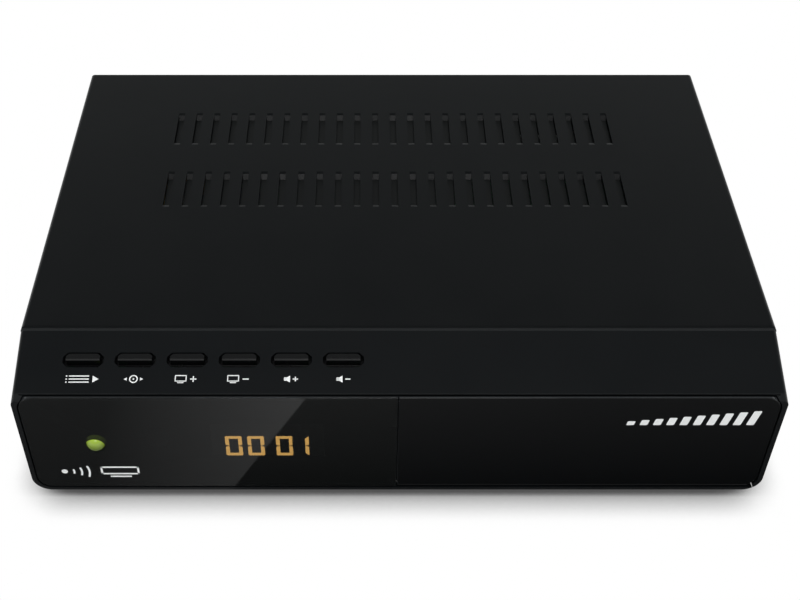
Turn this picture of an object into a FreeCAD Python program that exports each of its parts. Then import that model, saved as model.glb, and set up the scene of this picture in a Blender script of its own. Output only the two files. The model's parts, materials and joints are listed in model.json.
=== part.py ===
import FreeCAD, Part
import math
import os

# Satellite TV receiver in millimetres: +Z up, front at -Y, +X to the viewer's right.
# The origin is the centre of the bounding box at its lowest face.

V = FreeCAD.Vector
X_AXIS = V(1, 0, 0)
Y_AXIS = V(0, 1, 0)
Z_AXIS = V(0, 0, 1)

# Overall sizes
case_width = 221.0
lid_depth = 132.3
case_height = 47.7
foot_height = 3.6
fascia_depth = 21.8
fascia_drop = 7.5
connector_reach = 10.6
lamp_proud = 1.0

# General clearances
sheet = 0.8
sheet_gap = 0.1
seat_gap = 0.1
cutout_gap = 0.3
moving_gap = 0.3
pin_gap = 0.05
lid_seam = 0.25

# Cover
lid_bend = 1.3
lid_front_fold = 4.0
louvre_count = 25
louvre_pitch = 6.2
louvre_width = 2.1
louvre_length = 18.5
louvre_depth = 1.6
louvre_ramp = 2.35
louvre_bend = 1.0
louvre_rear_drop = 0.25
louvre_front_drop = 0.19
louvre_row_starts = (55.9, 89.5)

# Base
side_flange = 10.0
cover_screw_height = 3.2
cover_screw_inset = 25.0
standoff_height = 5.0
standoff_radius = 3.0
floor_vent_count = 12
floor_vent_pitch = 7.0
floor_vent_width = 2.4
floor_vent_length = 22.0
floor_vent_centre = 8.0
floor_vent_rows = (36.0, 68.0)
rear_vent_count = 20
rear_vent_pitch = 5.0
rear_vent_width = 2.0
rear_vent_height = 7.0
rear_vent_centre = 22.0
rear_vent_drop = 10.0
rear_recess = 0.4

# Feet
foot_radius = 8.0
foot_inset_x = 19.5
foot_inset_y = 15.0
foot_dimple = 1.2
foot_round = 0.9

# Fascia
slope_wall = 2.0
fascia_wall = 1.9
fascia_floor = 1.8
fascia_corner = 5.5
fascia_side_round = 1.6
slope_end_s = 20.85
groove_depth = 3.0
groove_corner = 3.4
panel_recess = 0.2
panel_thickness = 1.6
panel_top_drop = 6.3
panel_side_border = 1.4
panel_bottom_border = 1.0
panel_gap = 0.25
panel_rim = 1.3
panel_edge_round = 0.3
panel_top_corner = 5.0
panel_bottom_corner = 4.3
seam_gap = 0.35
seam_offset = 0.45
front_wall = 1.7
groove_wall = 1.7
lid_step = 0.2
seam_facet_depth = 0.6
seam_facet_drop = 0.15
post_radius = 2.4
tab_width = 12.0
tab_height = 4.6
tab_lap = 4.0
tab_screw_y = 5.0
tab_inset = 30.5

# Keys
key_count = 6
key_pitch = 15.0
first_key_inset = 19.5
key_post_offset = 11.5
key_opening_width = 11.8
key_opening_start = 7.7
key_opening_length = 4.7
key_opening_chamfer = 1.4
key_gap = 0.45
key_top_rear = 0.1
key_ridge = 2.45
key_ridge_face = 0.36
key_ridge_face_drop = 0.4
key_ridge_height = 0.85
key_front_slant = 0.3
key_bar_width = 9.8
key_round = 0.08
key_flange_front = 0.3
key_flange_overlap = 0.5
key_flange_thickness = 0.8
key_travel = 0.5
plunger_seat = 0.8
key_board_width = 13.0
key_board_thickness = 1.2
switch_body = 6.2
switch_height = 3.5
plunger_radius = 1.7
plunger_height = 1.0

# Display
display_inset = 55.5
display_width = 33.0
display_height = 14.0
display_centre_drop = 26.7
display_board_back = 8.0
display_board_side = 4.5
display_board_seam = 4.55
display_board_rise = 8.5
display_board_foot = 5.0
display_screw_rise = 7.0
board_thickness = 1.6
lamp_inset = 21.3
lamp_drop = 27.4
lamp_radius = 2.9
eye_inset = 39.5
eye_radius = 3.0

# Flap and bay
bead_radius = 1.2
hinge_pin_radius = 0.5
hinge_pin_length = 1.6
hinge_lug_radius = 1.0
hinge_lug_length = 2.1
hinge_lug_gap = 0.3
window_skin = 0.5
flap_corner = 5.2
hinge_relief = 0.8
bay_seam_inset = 8.45
bay_side_inset = 10.5
bay_bottom = 4.4
bay_height = 22.0
bay_depth = 7.5
bay_wall = 1.5
bay_lip = 1.2
stick_proud = 0.6
card_slot_width = 56.0
card_slot_height = 3.4
card_offset = 31.0
stick_offset = 14.0
stick_width = 13.2
stick_height = 6.0

# Circuit boards
board_edge_inset = 6.5
board_spacing = 3.5
main_board_tongue_left = 3.0
main_board_tongue_depth = 26.0
power_board_side = 4.5
power_board_width = 39.5
power_board_length = 96.0
board_screw_inset = 5.0
processor_inset = 70.0
processor_y = 44.0
processor_size = 22.0
processor_height = 1.6
heat_sink_size = 26.0
heat_sink_fin = 1.5
heat_sink_pitch = 3.5
heat_sink_count = 8
heat_sink_height = 12.0
memory_size = (10.0, 13.5, 1.1)
memory_offsets = (22.0, 36.0)

# Capacitors on the main board: x and y from its left front corner, radius, height
capacitors = (
    (11, 26, 4.0, 11), (21, 26, 4.0, 11), (33, 44, 3.2, 9), (43, 58, 3.2, 9),
    (71, 70, 2.5, 7), (123, 66, 3.2, 9), (11, 66, 5.0, 16),
)

# Cable and wires inside
header_depth = 3.2
header_height = 5.5
power_header_width = 4.0
power_header_length = 12.0
power_header_height = 6.0
harness_rear_gap = 60.0
harness_rise = 6.0
wire_count = 5
wire_pitch = 2.0
wire_radius = 0.6
wire_bend = 3.0
ribbon_inset = 17.0
ribbon_width = 10.0
ribbon_thickness = 0.5
ribbon_bend = 3.0
ribbon_header_margin = 1.0
ribbon_level = 4.9
ribbon_run_in = 6.0

# Rear connectors, set out from the right side, centre to centre
lnb_inset = 14.5
lnb_spacing = 18.0
lnb_radius = 4.76
lnb_base_radius = 5.2
lnb_nut_across = 13.0
lnb_nut_height = 2.4
lnb_shoulder_radius = 6.2
lnb_shoulder = 1.6
tuner_depth = 32.4
tuner_side = 9.0
tuner_wall = 0.5
tuner_height = 17.0
network_spacing = 21.0
network_width = 16.0
network_height = 13.6
network_depth = 17.0
video_spacing = 19.0
video_width = 15.0
video_height = 6.0
video_depth = 11.0
scart_spacing = 35.0
scart_width = 47.5
scart_height = 15.5
scart_depth = 19.0
phono_spacing = 46.0
phono_pitch = 12.6
phono_count = 3
phono_radius = 4.15
phono_base_radius = 4.7
phono_base_height = 0.5
phono_bore = 1.7
phono_reach = 8.0
phono_body_height = 13.0
phono_body_depth = 12.0

# Mains inlet and switch, set out from the left side
mains_z = 27.0
inlet_inset = 16.5
inlet_flange_width = 25.0
inlet_flange_height = 18.0
inlet_body_width = 21.5
inlet_body_height = 14.5
inlet_body_depth = 15.0
inlet_cavity_depth = 12.5
inlet_lobe_radius = 4.3
inlet_lobe_offset = 3.4
inlet_pin_offset = 4.3
inlet_pin_radius = 1.2
rocker_spacing = 20.8
rocker_flange_width = 13.2
rocker_flange_height = 21.4
rocker_body_width = 12.4
rocker_body_height = 19.4
rocker_body_depth = 13.0
rocker_mouth_width = 10.2
rocker_mouth_height = 17.4
rocker_width = 9.6
rocker_half_height = 8.0
rocker_tilt = 8.0
rocker_pin_radius = 1.2
rocker_axis_depth = 0.2
rim_thickness = 1.8

# Screws
screw_head_radius = 2.8
screw_head_height = 1.8
screw_radius = 1.45
screw_length = 4.2

# Places that follow from the sizes above
overall_depth = lamp_proud - panel_recess + fascia_depth + lid_depth + connector_reach
bezel_y = -overall_depth / 2 + lamp_proud - panel_recess
lid_y = bezel_y + fascia_depth
rear_y = lid_y + lid_depth
half_width = case_width / 2
case_z = foot_height
first_key_x = -half_width + first_key_inset
display_left = -half_width + display_inset
display_right = display_left + display_width
display_board_left = -half_width + display_board_side
lamp_x = -half_width + lamp_inset
eye_x = -half_width + eye_inset
power_board_left = -half_width + power_board_side
power_board_right = power_board_left + power_board_width
main_board_left = power_board_right + board_spacing
main_board_right = half_width - board_edge_inset
lnb_in_x = half_width - lnb_inset
lnb_out_x = lnb_in_x - lnb_spacing
network_x = lnb_out_x - network_spacing
video_x = network_x - video_spacing
scart_x = video_x - scart_spacing
phono_x = scart_x - phono_spacing
inlet_x = -half_width + inlet_inset
rocker_x = inlet_x + rocker_spacing
floor_top = case_z + sheet
lid_z = case_z + case_height
lid_under = lid_z - sheet
panel_y = bezel_y + panel_recess
panel_back = panel_y + panel_thickness
front_wall_back = panel_back + front_wall
slope_angle = math.degrees(math.atan2(fascia_drop, fascia_depth))
slope_cos = math.cos(math.radians(slope_angle))
slope_tan = fascia_drop / fascia_depth
slope_end_y = lid_y - slope_end_s * slope_cos
panel_left = -half_width + panel_side_border
panel_right = half_width - panel_side_border
panel_bottom = case_z + panel_bottom_border
panel_top = lid_z - panel_top_drop
groove_floor = panel_top - groove_depth
seam_x = -seam_offset
display_board_right = seam_x - display_board_seam
bay_left = seam_x + bay_seam_inset
bay_right = half_width - bay_side_inset
card_centre_x = bay_left + card_offset
stick_centre_x = bay_right - stick_offset
board_z = floor_top + standoff_height
board_top = board_z + board_thickness
hinge_y = panel_y + bead_radius
hinge_z = panel_bottom + panel_gap + bead_radius
relief_end = panel_right - hinge_relief
flap_right = panel_right - panel_gap
bay_front = panel_back + moving_gap
bay_back = bay_front + bay_depth
bay_z = case_z + bay_bottom
display_z = lid_z - display_centre_drop
lamp_z = lid_z - lamp_drop
display_board_y = panel_back + display_board_back
rear_inner = rear_y - rear_recess - sheet
rear_outer = rear_y - rear_recess
main_board_front = lid_y + main_board_tongue_depth
main_board_rear = rear_inner - 1.0
harness_y = main_board_rear - harness_rear_gap
tongue_front = bay_back + 1.2
rocker_axis_y = rear_outer - rocker_axis_depth
lnb_z = board_top + tuner_height / 2
network_z = board_top + network_height / 2
video_z = board_top + video_height / 2
scart_z = board_top + scart_height / 2
phono_z = board_top + phono_body_height / 2
key_centre_s = key_opening_start + key_opening_length / 2
key_flange_top = -slope_wall - moving_gap
key_flange_bottom = key_flange_top - key_flange_thickness
key_board_n = key_flange_bottom - plunger_height - switch_height
card_z = board_top + 4.6
stick_z = board_top + 3.6


def box(x_low, x_high, y_low, y_high, z_low, z_high):
    """A box between two corners."""
    return Part.makeBox(x_high - x_low, y_high - y_low, z_high - z_low, V(x_low, y_low, z_low))


def cylinder(radius, start, axis, length):
    """A cylinder from a start point along an axis."""
    return Part.makeCylinder(radius, length, start, axis)


def centred_box(x, width, y_low, y_high, z, height):
    """A box about a centre on the rear or front face, between two depths."""
    return box(x - width / 2, x + width / 2, y_low, y_high, z - height / 2, z + height / 2)


def prism(points, direction):
    """A flat polygon pushed along a direction."""
    corners = [V(*point) for point in points]
    face = Part.Face(Part.makePolygon(corners + corners[:1]))
    return face.extrude(direction)


def side_prism(points, x_low, x_high):
    """A prism along X from an outline given as y and z pairs."""
    return prism([(x_low, y, z) for y, z in points], V(x_high - x_low, 0, 0))


def front_prism(points, y_low, y_high):
    """A prism along Y from an outline given as x and z pairs."""
    return prism([(x, y_low, z) for x, z in points], V(0, y_high - y_low, 0))


def plan_prism(points, z_low, z_high):
    """A prism along Z from an outline given as x and y pairs."""
    return prism([(x, y, z_low) for x, y in points], V(0, 0, z_high - z_low))


def chamfered_outline(centre_u, width_u, centre_v, width_v, chamfer):
    """An octagon: a rectangle with its four corners cut."""
    u = width_u / 2
    v = width_v / 2
    corners = [(-u + chamfer, -v), (u - chamfer, -v), (u, -v + chamfer), (u, v - chamfer)]
    corners += [(u - chamfer, v), (-u + chamfer, v), (-u, v - chamfer), (-u, -v + chamfer)]
    return [(centre_u + du, centre_v + dv) for du, dv in corners]


def round_edges(shape, radius, chosen):
    """Round the edges whose middle point and direction pass a test."""
    edges = []
    for edge in shape.Edges:
        low, high = edge.ParameterRange
        middle = edge.valueAt((low + high) / 2)
        along = edge.tangentAt((low + high) / 2)
        if chosen(middle, along):
            edges.append(edge)
    return shape.makeFillet(radius, edges)


def near(a, b):
    """True where two sizes are the same within a thousandth."""
    return abs(a - b) < 0.001


def fuse(shapes):
    """One solid from shapes that touch."""
    return shapes[0].multiFuse(shapes[1:]).removeSplitter()


def on_slope(shape):
    """Move a shape from key-field axes, y up the slope and z out of it, onto the fascia."""
    placed = shape.copy()
    placed.rotate(V(0, 0, 0), X_AXIS, slope_angle)
    placed.translate(V(0, lid_y, lid_z))
    return placed


def save(name, *shapes):
    """Write one node, as one solid or as a group of separate solids."""
    solids = [solid for shape in shapes for solid in shape.Solids]
    whole = solids[0] if len(solids) == 1 else Part.makeCompound(solids)
    whole.exportStep(f"parts/{name}.step")


# Rounded outlines

def rounded_front(x_low, x_high, y_low, y_high, z_low, z_high, bottom_radius, top_radius):
    """A plate in the front plane with its lower and upper corners rounded."""
    plate = box(x_low, x_high, y_low, y_high, z_low, z_high)
    if bottom_radius:
        plate = round_edges(plate, bottom_radius, lambda p, t: abs(t.y) > 0.9 and near(p.z, z_low))
    if top_radius:
        plate = round_edges(plate, top_radius, lambda p, t: abs(t.y) > 0.9 and near(p.z, z_high))
    return plate


# Cover

def louvre_strip(x, y_start):
    """One pressed bridge: a strip sunk below the sheet and ramped up at both ends."""
    y_end = y_start + louvre_length
    low = lid_z - louvre_depth
    outline = [
        (y_start, lid_z), (y_start + louvre_bend, lid_z - louvre_front_drop), (y_start + louvre_ramp, low),
        (y_end - louvre_ramp, low), (y_end - louvre_bend, lid_z - louvre_rear_drop), (y_end, lid_z),
    ]
    outline += [(y, z - sheet) for y, z in reversed(outline)]
    return side_prism(outline, x - louvre_width / 2, x + louvre_width / 2)


def louvre_places():
    """The centre x and front y of each louvre."""
    first = -louvre_pitch * (louvre_count - 1) / 2
    for row_start in louvre_row_starts:
        for index in range(louvre_count):
            yield first + index * louvre_pitch, lid_y + row_start


def cover_screw_places():
    """The y and z of the screws in each side of the cover."""
    z = floor_top + cover_screw_height
    return [(lid_y + cover_screw_inset, z), (rear_y - cover_screw_inset, z)]


def make_top_cover():
    outer = box(-half_width, half_width, lid_y, rear_y, case_z, lid_z)
    outer = round_edges(
        outer, lid_bend,
        lambda p, t: near(p.z, lid_z) and (abs(t.y) > 0.9 or near(p.y, lid_y)),
    )
    inner = box(
        -half_width + sheet, half_width - sheet,
        lid_y + sheet, rear_y + sheet, case_z - sheet, lid_under,
    )
    inner = round_edges(
        inner, lid_bend - sheet,
        lambda p, t: near(p.z, lid_under) and (abs(t.y) > 0.9 or near(p.y, lid_y + sheet)),
    )
    mouth = box(
        -half_width + sheet, half_width - sheet,
        lid_y - sheet, lid_y + 2 * sheet, case_z - sheet, lid_z - lid_front_fold,
    )
    slots = [
        box(x - louvre_width / 2, x + louvre_width / 2, y, y + louvre_length, lid_under - 1, lid_z + 1)
        for x, y in louvre_places()
    ]
    holes = [
        cylinder(screw_radius + seat_gap, V(-half_width - 1, y, z), X_AXIS, case_width + 2)
        for y, z in cover_screw_places()
    ]
    cover = outer.cut([inner, mouth] + slots + holes)
    strips = [louvre_strip(x, y) for x, y in louvre_places()]
    save("top_cover", fuse([cover] + strips))


# Base

def main_board_screws():
    """The x and y of the main board's screws."""
    edge = board_screw_inset
    return [
        (main_board_left + edge, main_board_front + edge + 1),
        (main_board_left + edge, main_board_rear - 30),
        (main_board_right - edge, main_board_rear - 42),
        (main_board_right - edge, tongue_front + 50),
        (main_board_tongue_left + edge, main_board_front + 24),
    ]


def power_board_screws():
    """The x and y of the power board's screws."""
    edge = board_screw_inset
    front = main_board_rear - power_board_length
    return [
        (power_board_left + edge, front + edge),
        (power_board_right - edge, front + edge),
        (power_board_right - edge, main_board_rear - 22),
    ]


def fascia_screws():
    """The x and y of the screws that hold the fascia's tabs to the floor."""
    outer = half_width - tab_inset
    return [(x, lid_y + tab_screw_y) for x in (-outer, 0.0, outer)]


def rear_cutouts():
    """Everything that is cut out of the rear panel."""
    low = rear_inner - 1
    high = rear_outer + 1
    gap = 2 * cutout_gap
    for x in (lnb_in_x, lnb_out_x):
        yield cylinder(lnb_base_radius + seat_gap, V(x, low, lnb_z), Y_AXIS, high - low)
    yield centred_box(network_x, network_width + gap, low, high, network_z, network_height + gap)
    yield centred_box(video_x, video_width + gap, low, high, video_z, video_height + gap)
    yield centred_box(scart_x, scart_width + gap, low, high, scart_z, scart_height + gap)
    for x in phono_places():
        yield cylinder(phono_base_radius + cutout_gap, V(x, low, phono_z), Y_AXIS, high - low)
    yield centred_box(
        inlet_x, inlet_body_width + gap, low, high, mains_z, inlet_body_height + gap)
    yield centred_box(
        rocker_x, rocker_body_width + 2 * seat_gap, low, high, mains_z, rocker_body_height + 2 * seat_gap)
    first = -rear_vent_pitch * (rear_vent_count - 1) / 2
    for index in range(rear_vent_count):
        x = first + index * rear_vent_pitch + rear_vent_centre
        yield centred_box(x, rear_vent_width, low, high, lid_z - rear_vent_drop, rear_vent_height)


def floor_cuts():
    """Vents and screw holes in the floor."""
    low = case_z - 1
    first = -floor_vent_pitch * (floor_vent_count - 1) / 2
    for row in floor_vent_rows:
        for index in range(floor_vent_count):
            x = first + index * floor_vent_pitch + floor_vent_centre
            yield box(
                x - floor_vent_width / 2, x + floor_vent_width / 2,
                lid_y + row, lid_y + row + floor_vent_length, low, floor_top + 1)
    for x, y in fascia_screws():
        yield cylinder(screw_radius + seat_gap, V(x, y, low), Z_AXIS, sheet + 2)


def standoff_places():
    """Every floor post that carries a board."""
    return main_board_screws() + power_board_screws()


def make_base_pan():
    inner_half = half_width - sheet - sheet_gap
    front = lid_y + sheet_gap
    floor = box(-inner_half, inner_half, front, rear_outer, case_z, floor_top)
    rear = box(-inner_half, inner_half, rear_inner, rear_outer, case_z, lid_under - sheet_gap)
    pieces = [floor, rear]
    for side in (-1, 1):
        x_low = min(side * inner_half, side * (inner_half - sheet))
        pieces.append(box(
            x_low, x_low + sheet, lid_y + 12.0, rear_outer, case_z, floor_top + side_flange))
    for x, y in standoff_places():
        pieces.append(cylinder(standoff_radius, V(x, y, case_z), Z_AXIS, sheet + standoff_height))
    holes = [
        cylinder(screw_radius + pin_gap, V(x, y, case_z + sheet), Z_AXIS, standoff_height + 1)
        for x, y in standoff_places()
    ]
    holes += [
        cylinder(screw_radius + pin_gap, V(-half_width - 1, y, z), X_AXIS, case_width + 2)
        for y, z in cover_screw_places()
    ]
    pan = fuse(pieces).cut(holes + list(rear_cutouts()) + list(floor_cuts()))
    save("base_pan", pan)


def make_feet():
    """Four round rubber feet under the floor, each with a dimple in its sole."""
    places = {
        "foot_front_left": (-half_width + foot_inset_x, lid_y + foot_inset_y),
        "foot_front_right": (half_width - foot_inset_x, lid_y + foot_inset_y),
        "foot_rear_left": (-half_width + foot_inset_x, rear_y - foot_inset_y),
        "foot_rear_right": (half_width - foot_inset_x, rear_y - foot_inset_y),
    }
    for name, (x, y) in places.items():
        foot = cylinder(foot_radius, V(x, y, 0), Z_AXIS, foot_height)
        foot = round_edges(foot, foot_round, lambda p, t: near(p.z, 0))
        dimple = cylinder(foot_radius / 3, V(x, y, -1), Z_AXIS, foot_dimple + 1)
        save(name, foot.cut(dimple))


# Fascia

def slope_z(y, drop=0.0):
    """Height of the sloping key field, or of a plane that lies below it."""
    return lid_z + (y - lid_y) * slope_tan - drop


def key_outline(margin):
    """The chamfered outline of a key's opening, widened by a margin, about one key's middle."""
    return chamfered_outline(
        0, key_opening_width + 2 * margin,
        -key_centre_s, key_opening_length + 2 * margin,
        key_opening_chamfer,
    )


def key_places():
    """The centre x of each key."""
    return [first_key_x + index * key_pitch for index in range(key_count)]


def key_board_ends():
    """The x of the two posts that carry the key board."""
    last_key_x = first_key_x + key_pitch * (key_count - 1)
    return (first_key_x - key_post_offset, last_key_x + key_post_offset)


def fascia_shell():
    """The outer body of the fascia, rounded at its sides, less its hollow."""
    seam_y = lid_y - lid_seam
    outer = [(seam_y, slope_z(seam_y) - lid_step), (bezel_y, lid_z - fascia_drop)]
    outer += [(bezel_y, case_z), (seam_y, case_z)]
    body = side_prism(outer, -half_width, half_width)
    body = round_edges(
        body, fascia_corner, lambda p, t: abs(t.y) > 0.9 and near(p.z, case_z))
    side_low = lid_z - fascia_drop - lid_step - 1
    body = round_edges(
        body, fascia_side_round,
        lambda p, t: near(abs(p.x), half_width) and abs(t.y) > 0.5 and p.z > side_low)
    facet_y = seam_y - seam_facet_depth
    facet_z = slope_z(facet_y)
    facet = [(facet_y, facet_z), (seam_y + 1, facet_z - seam_facet_drop / seam_facet_depth - seam_facet_drop)]
    body = body.cut(side_prism(facet + [(seam_y + 1, lid_z), (facet_y, lid_z)], -case_width, case_width))
    inner_x = half_width - fascia_wall
    drop = slope_wall / slope_cos
    step_y = slope_end_y + slope_wall
    back_y = lid_y + 1
    step_z = groove_floor - groove_wall
    hollow_low = case_z + fascia_floor
    hollow = [(back_y, slope_z(back_y, drop)), (step_y, slope_z(step_y, drop))]
    hollow += [(step_y, step_z), (front_wall_back, step_z)]
    hollow += [(front_wall_back, hollow_low), (back_y, hollow_low)]
    cavity = side_prism(hollow, -inner_x, inner_x)
    cavity = round_edges(
        cavity, fascia_corner - fascia_wall,
        lambda p, t: abs(t.y) > 0.9 and near(p.z, hollow_low) and near(abs(p.x), inner_x))
    return body.cut(cavity)


def fascia_cuts():
    """The panel pocket, the groove above it, and every opening in the fascia."""
    open_top = panel_top + 0.6
    top_corner = panel_top_corner + 0.4
    yield rounded_front(
        panel_left, panel_right, bezel_y - 1, panel_back, panel_bottom, open_top,
        panel_bottom_corner + panel_gap, top_corner)
    yield rounded_front(
        panel_left, panel_right, panel_back - 0.01, slope_end_y, groove_floor, open_top,
        0, groove_corner)
    yield box(
        panel_left + panel_top_corner, panel_right - panel_top_corner,
        bezel_y - 1, slope_end_y, panel_top, lid_z + 5)
    wall_low = panel_back - 1
    wall_high = front_wall_back + 1
    through = wall_high - wall_low
    half_height = display_height / 2 + cutout_gap
    yield box(
        display_left - cutout_gap, display_right + cutout_gap, wall_low, wall_high,
        display_z - half_height, display_z + half_height)
    yield cylinder(lamp_radius + cutout_gap, V(lamp_x, wall_low, lamp_z), Y_AXIS, through)
    yield cylinder(eye_radius + cutout_gap, V(eye_x, wall_low, display_z), Y_AXIS, through)
    yield box(bay_left, bay_right, wall_low, wall_high, bay_z, bay_z + bay_height)
    channel_start = seam_x - 0.1
    channel = bead_radius + moving_gap
    yield cylinder(channel, V(channel_start, hinge_y, hinge_z), X_AXIS, relief_end - channel_start)
    yield box(
        flap_right - flap_corner, relief_end,
        bezel_y - 1, hinge_y + bead_radius / 2, panel_bottom, hinge_z + channel)
    for x in key_places():
        opening = plan_prism(key_outline(0), -slope_wall - 1, 2)
        opening.translate(V(x, 0, 0))
        yield on_slope(opening)


def hinge_lug():
    """The flap's left bearing, open to the front, in a notch behind the window's lower corner."""
    high = seam_x - hinge_lug_gap
    low = high - hinge_lug_length
    lug = cylinder(hinge_lug_radius, V(low, hinge_y, hinge_z), X_AXIS, hinge_lug_length)
    z_low = hinge_z - hinge_lug_radius
    z_high = hinge_z + hinge_lug_radius
    arm = box(low, high, hinge_y, panel_back + 0.5, z_low, z_high)
    opening = box(
        low - 1, high + 1, panel_y - hinge_lug_radius, panel_y + window_skin + seat_gap,
        z_low - 1, z_high + 1)
    return lug.fuse(arm).cut(opening)


def fascia_bosses():
    """Posts for the key board and the display board, and the tabs under the floor screws."""
    bore = screw_radius + pin_gap
    key_posts = []
    post_top = 0.4 - slope_wall
    for x in key_board_ends():
        post = cylinder(post_radius, V(x, -key_centre_s, key_board_n), Z_AXIS, post_top - key_board_n)
        hole = cylinder(bore, V(x, -key_centre_s, key_board_n - 1), Z_AXIS, screw_length + 1)
        key_posts.append(on_slope(post.cut(hole)))
    board_posts = []
    root_y = front_wall_back - 0.4
    for x, z in display_board_screws():
        post = cylinder(post_radius, V(x, root_y, z), Y_AXIS, display_board_y - root_y)
        hole = cylinder(bore, V(x, display_board_y - screw_length, z), Y_AXIS, screw_length + 1)
        board_posts.append(post.cut(hole))
    tabs = []
    half = tab_width / 2
    for x, y in fascia_screws():
        tab = box(x - half, x + half, lid_y - tab_lap, y + 5, floor_top, floor_top + tab_height)
        foot = box(x - half, x + half, lid_y - tab_lap, lid_y - lid_seam, case_z + 0.5, floor_top + 0.1)
        hole = cylinder(bore, V(x, y, floor_top - 1), Z_AXIS, screw_length + 0.6)
        tabs.append(tab.fuse(foot).cut(hole))
    return key_posts + board_posts + tabs


def make_front_fascia():
    shell = fascia_shell().cut(list(fascia_cuts()))
    body = fuse([shell, hinge_lug()] + fascia_bosses())
    bore = hinge_pin_radius + pin_gap
    left_start = seam_x + seam_gap - hinge_pin_length - 0.6
    right_start = relief_end - 0.1
    bearings = [
        cylinder(bore, V(left_start, hinge_y, hinge_z), X_AXIS, seam_x + 0.3 - left_start),
        cylinder(bore, V(right_start, hinge_y, hinge_z), X_AXIS, hinge_relief + 0.5),
    ]
    save("front_fascia", body.cut(bearings))


# Window and flap

def panel_plate(x_low, x_high, outer_x, bottom_corner, back_y):
    """A glossy front panel with its outer corners rounded and its top rim thinned."""
    z_low = panel_bottom + panel_gap
    plate = box(x_low, x_high, panel_y, back_y, z_low, panel_top)
    for radius, z in ((bottom_corner, z_low), (panel_top_corner, panel_top)):
        plate = round_edges(
            plate, radius, lambda p, t: abs(t.y) > 0.9 and near(p.x, outer_x) and near(p.z, z))
    behind = back_y + 0.1
    above = panel_top + 0.1
    outline = [(behind, above), (behind, panel_top - panel_rim), (panel_y + 0.5, above)]
    return plate.cut(side_prism(outline, x_low - 1, x_high + 1))


def soften_front(plate):
    """Break the front edges of a panel, which catch a line of light."""
    return round_edges(plate, panel_edge_round, lambda p, t: near(p.y, panel_y))


def make_display_window():
    left = panel_left + panel_gap
    plate = soften_front(panel_plate(left, seam_x, left, panel_bottom_corner, panel_back))
    lamp_hole = cylinder(
        lamp_radius + seat_gap, V(lamp_x, panel_y - 1, lamp_z), Y_AXIS, panel_thickness + 2)
    notch_left = seam_x - hinge_lug_gap - hinge_lug_length - 0.4
    notch = box(
        notch_left, seam_x + 1, panel_y + window_skin, panel_back + 1,
        panel_bottom, hinge_z + hinge_lug_radius + moving_gap)
    save("display_window", plate.cut([lamp_hole, notch]))


def make_front_flap():
    """The flap: its plate, the hinge bead along its lower edge, and a pin at each end."""
    left = seam_x + seam_gap
    right = flap_right
    back = panel_back - moving_gap
    plate = soften_front(panel_plate(left, right, right, flap_corner, back))
    lower = box(left - 1, right + 1, panel_y - 1, panel_back + 1, panel_bottom - 1, hinge_z)
    bead = cylinder(bead_radius, V(left, hinge_y, hinge_z), X_AXIS, right - flap_corner - left)
    round_off = cylinder(bead_radius, V(left - 1, hinge_y, hinge_z), X_AXIS, right - left + 2)
    skirt = plate.common(lower).common(round_off)
    upper = plate.cut(lower)
    pins = []
    for start, end in (
        (left - hinge_pin_length, left + 2),
        (right - flap_corner - 1, relief_end + hinge_relief),
    ):
        pins.append(cylinder(hinge_pin_radius, V(start, hinge_y, hinge_z), X_AXIS, end - start))
    save("front_flap", fuse([upper, skirt, bead] + pins))


def make_flap_bay():
    """The tray behind the flap, with a card slot and a hole for a memory stick socket."""
    left = bay_left + seat_gap
    right = bay_right - seat_gap
    low = bay_z + seat_gap
    high = bay_z + bay_height - seat_gap
    tray = box(left, right, bay_front, bay_back, low, high)
    lip = box(
        left - bay_lip, right + bay_lip, front_wall_back, front_wall_back + 1,
        low - bay_lip, high + bay_lip)
    hollow = box(
        left + bay_wall, right - bay_wall, bay_front - 1, bay_back - bay_wall,
        low + bay_wall, high - bay_wall)
    behind = bay_back + 1
    card = centred_box(card_centre_x, card_slot_width, bay_front, behind, card_z, card_slot_height)
    stick = centred_box(
        stick_centre_x, stick_width + 2 * cutout_gap, bay_front, behind,
        stick_z, stick_height + 2 * cutout_gap)
    save("flap_bay", tray.fuse(lip).cut([hollow, card, stick]).removeSplitter())


# Keys

def key_bar():
    """The raised bar of a key cap: its top rises to a narrow ridge face, then falls into the opening."""
    start = key_opening_start + key_gap
    ridge = key_opening_start + key_ridge
    face_end = ridge + key_ridge_face
    outline = [
        (-start, key_flange_bottom), (-start, key_top_rear), (-ridge, key_ridge_height),
        (-face_end, key_ridge_height - key_ridge_face_drop), (-key_foot(), key_flange_top),
        (-key_foot(), key_flange_bottom),
    ]
    return side_prism(outline, -key_bar_width / 2, key_bar_width / 2)


def key_foot():
    """How far down the slope the front of a key cap reaches."""
    return key_opening_start + key_ridge + key_ridge_face + key_front_slant


def make_keys():
    """Six key caps with retaining flanges, each over its own plunger."""
    for index, x in enumerate(key_places(), start=1):
        bar = key_bar().common(plan_prism(key_outline(-key_gap), key_flange_bottom, 2))
        bar = round_edges(bar, key_round, lambda p, t: p.z > 0.05)
        flange = plan_prism(key_outline(key_flange_overlap), key_flange_bottom, key_flange_top)
        reach = key_opening_width
        front = box(
            -reach, reach, -2 * reach, -key_foot() - key_flange_front,
            key_flange_bottom - 1, key_flange_top + 1)
        cap = fuse([bar, flange.cut(front)])
        cap.translate(V(x, 0, 0))
        save(f"button_cap_{index}", on_slope(cap))
        plunger = cylinder(
            plunger_radius, V(x, -key_centre_s, key_board_n + switch_height - plunger_seat),
            Z_AXIS, plunger_height + plunger_seat)
        save(f"switch_plunger_{index}", on_slope(plunger))


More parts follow.
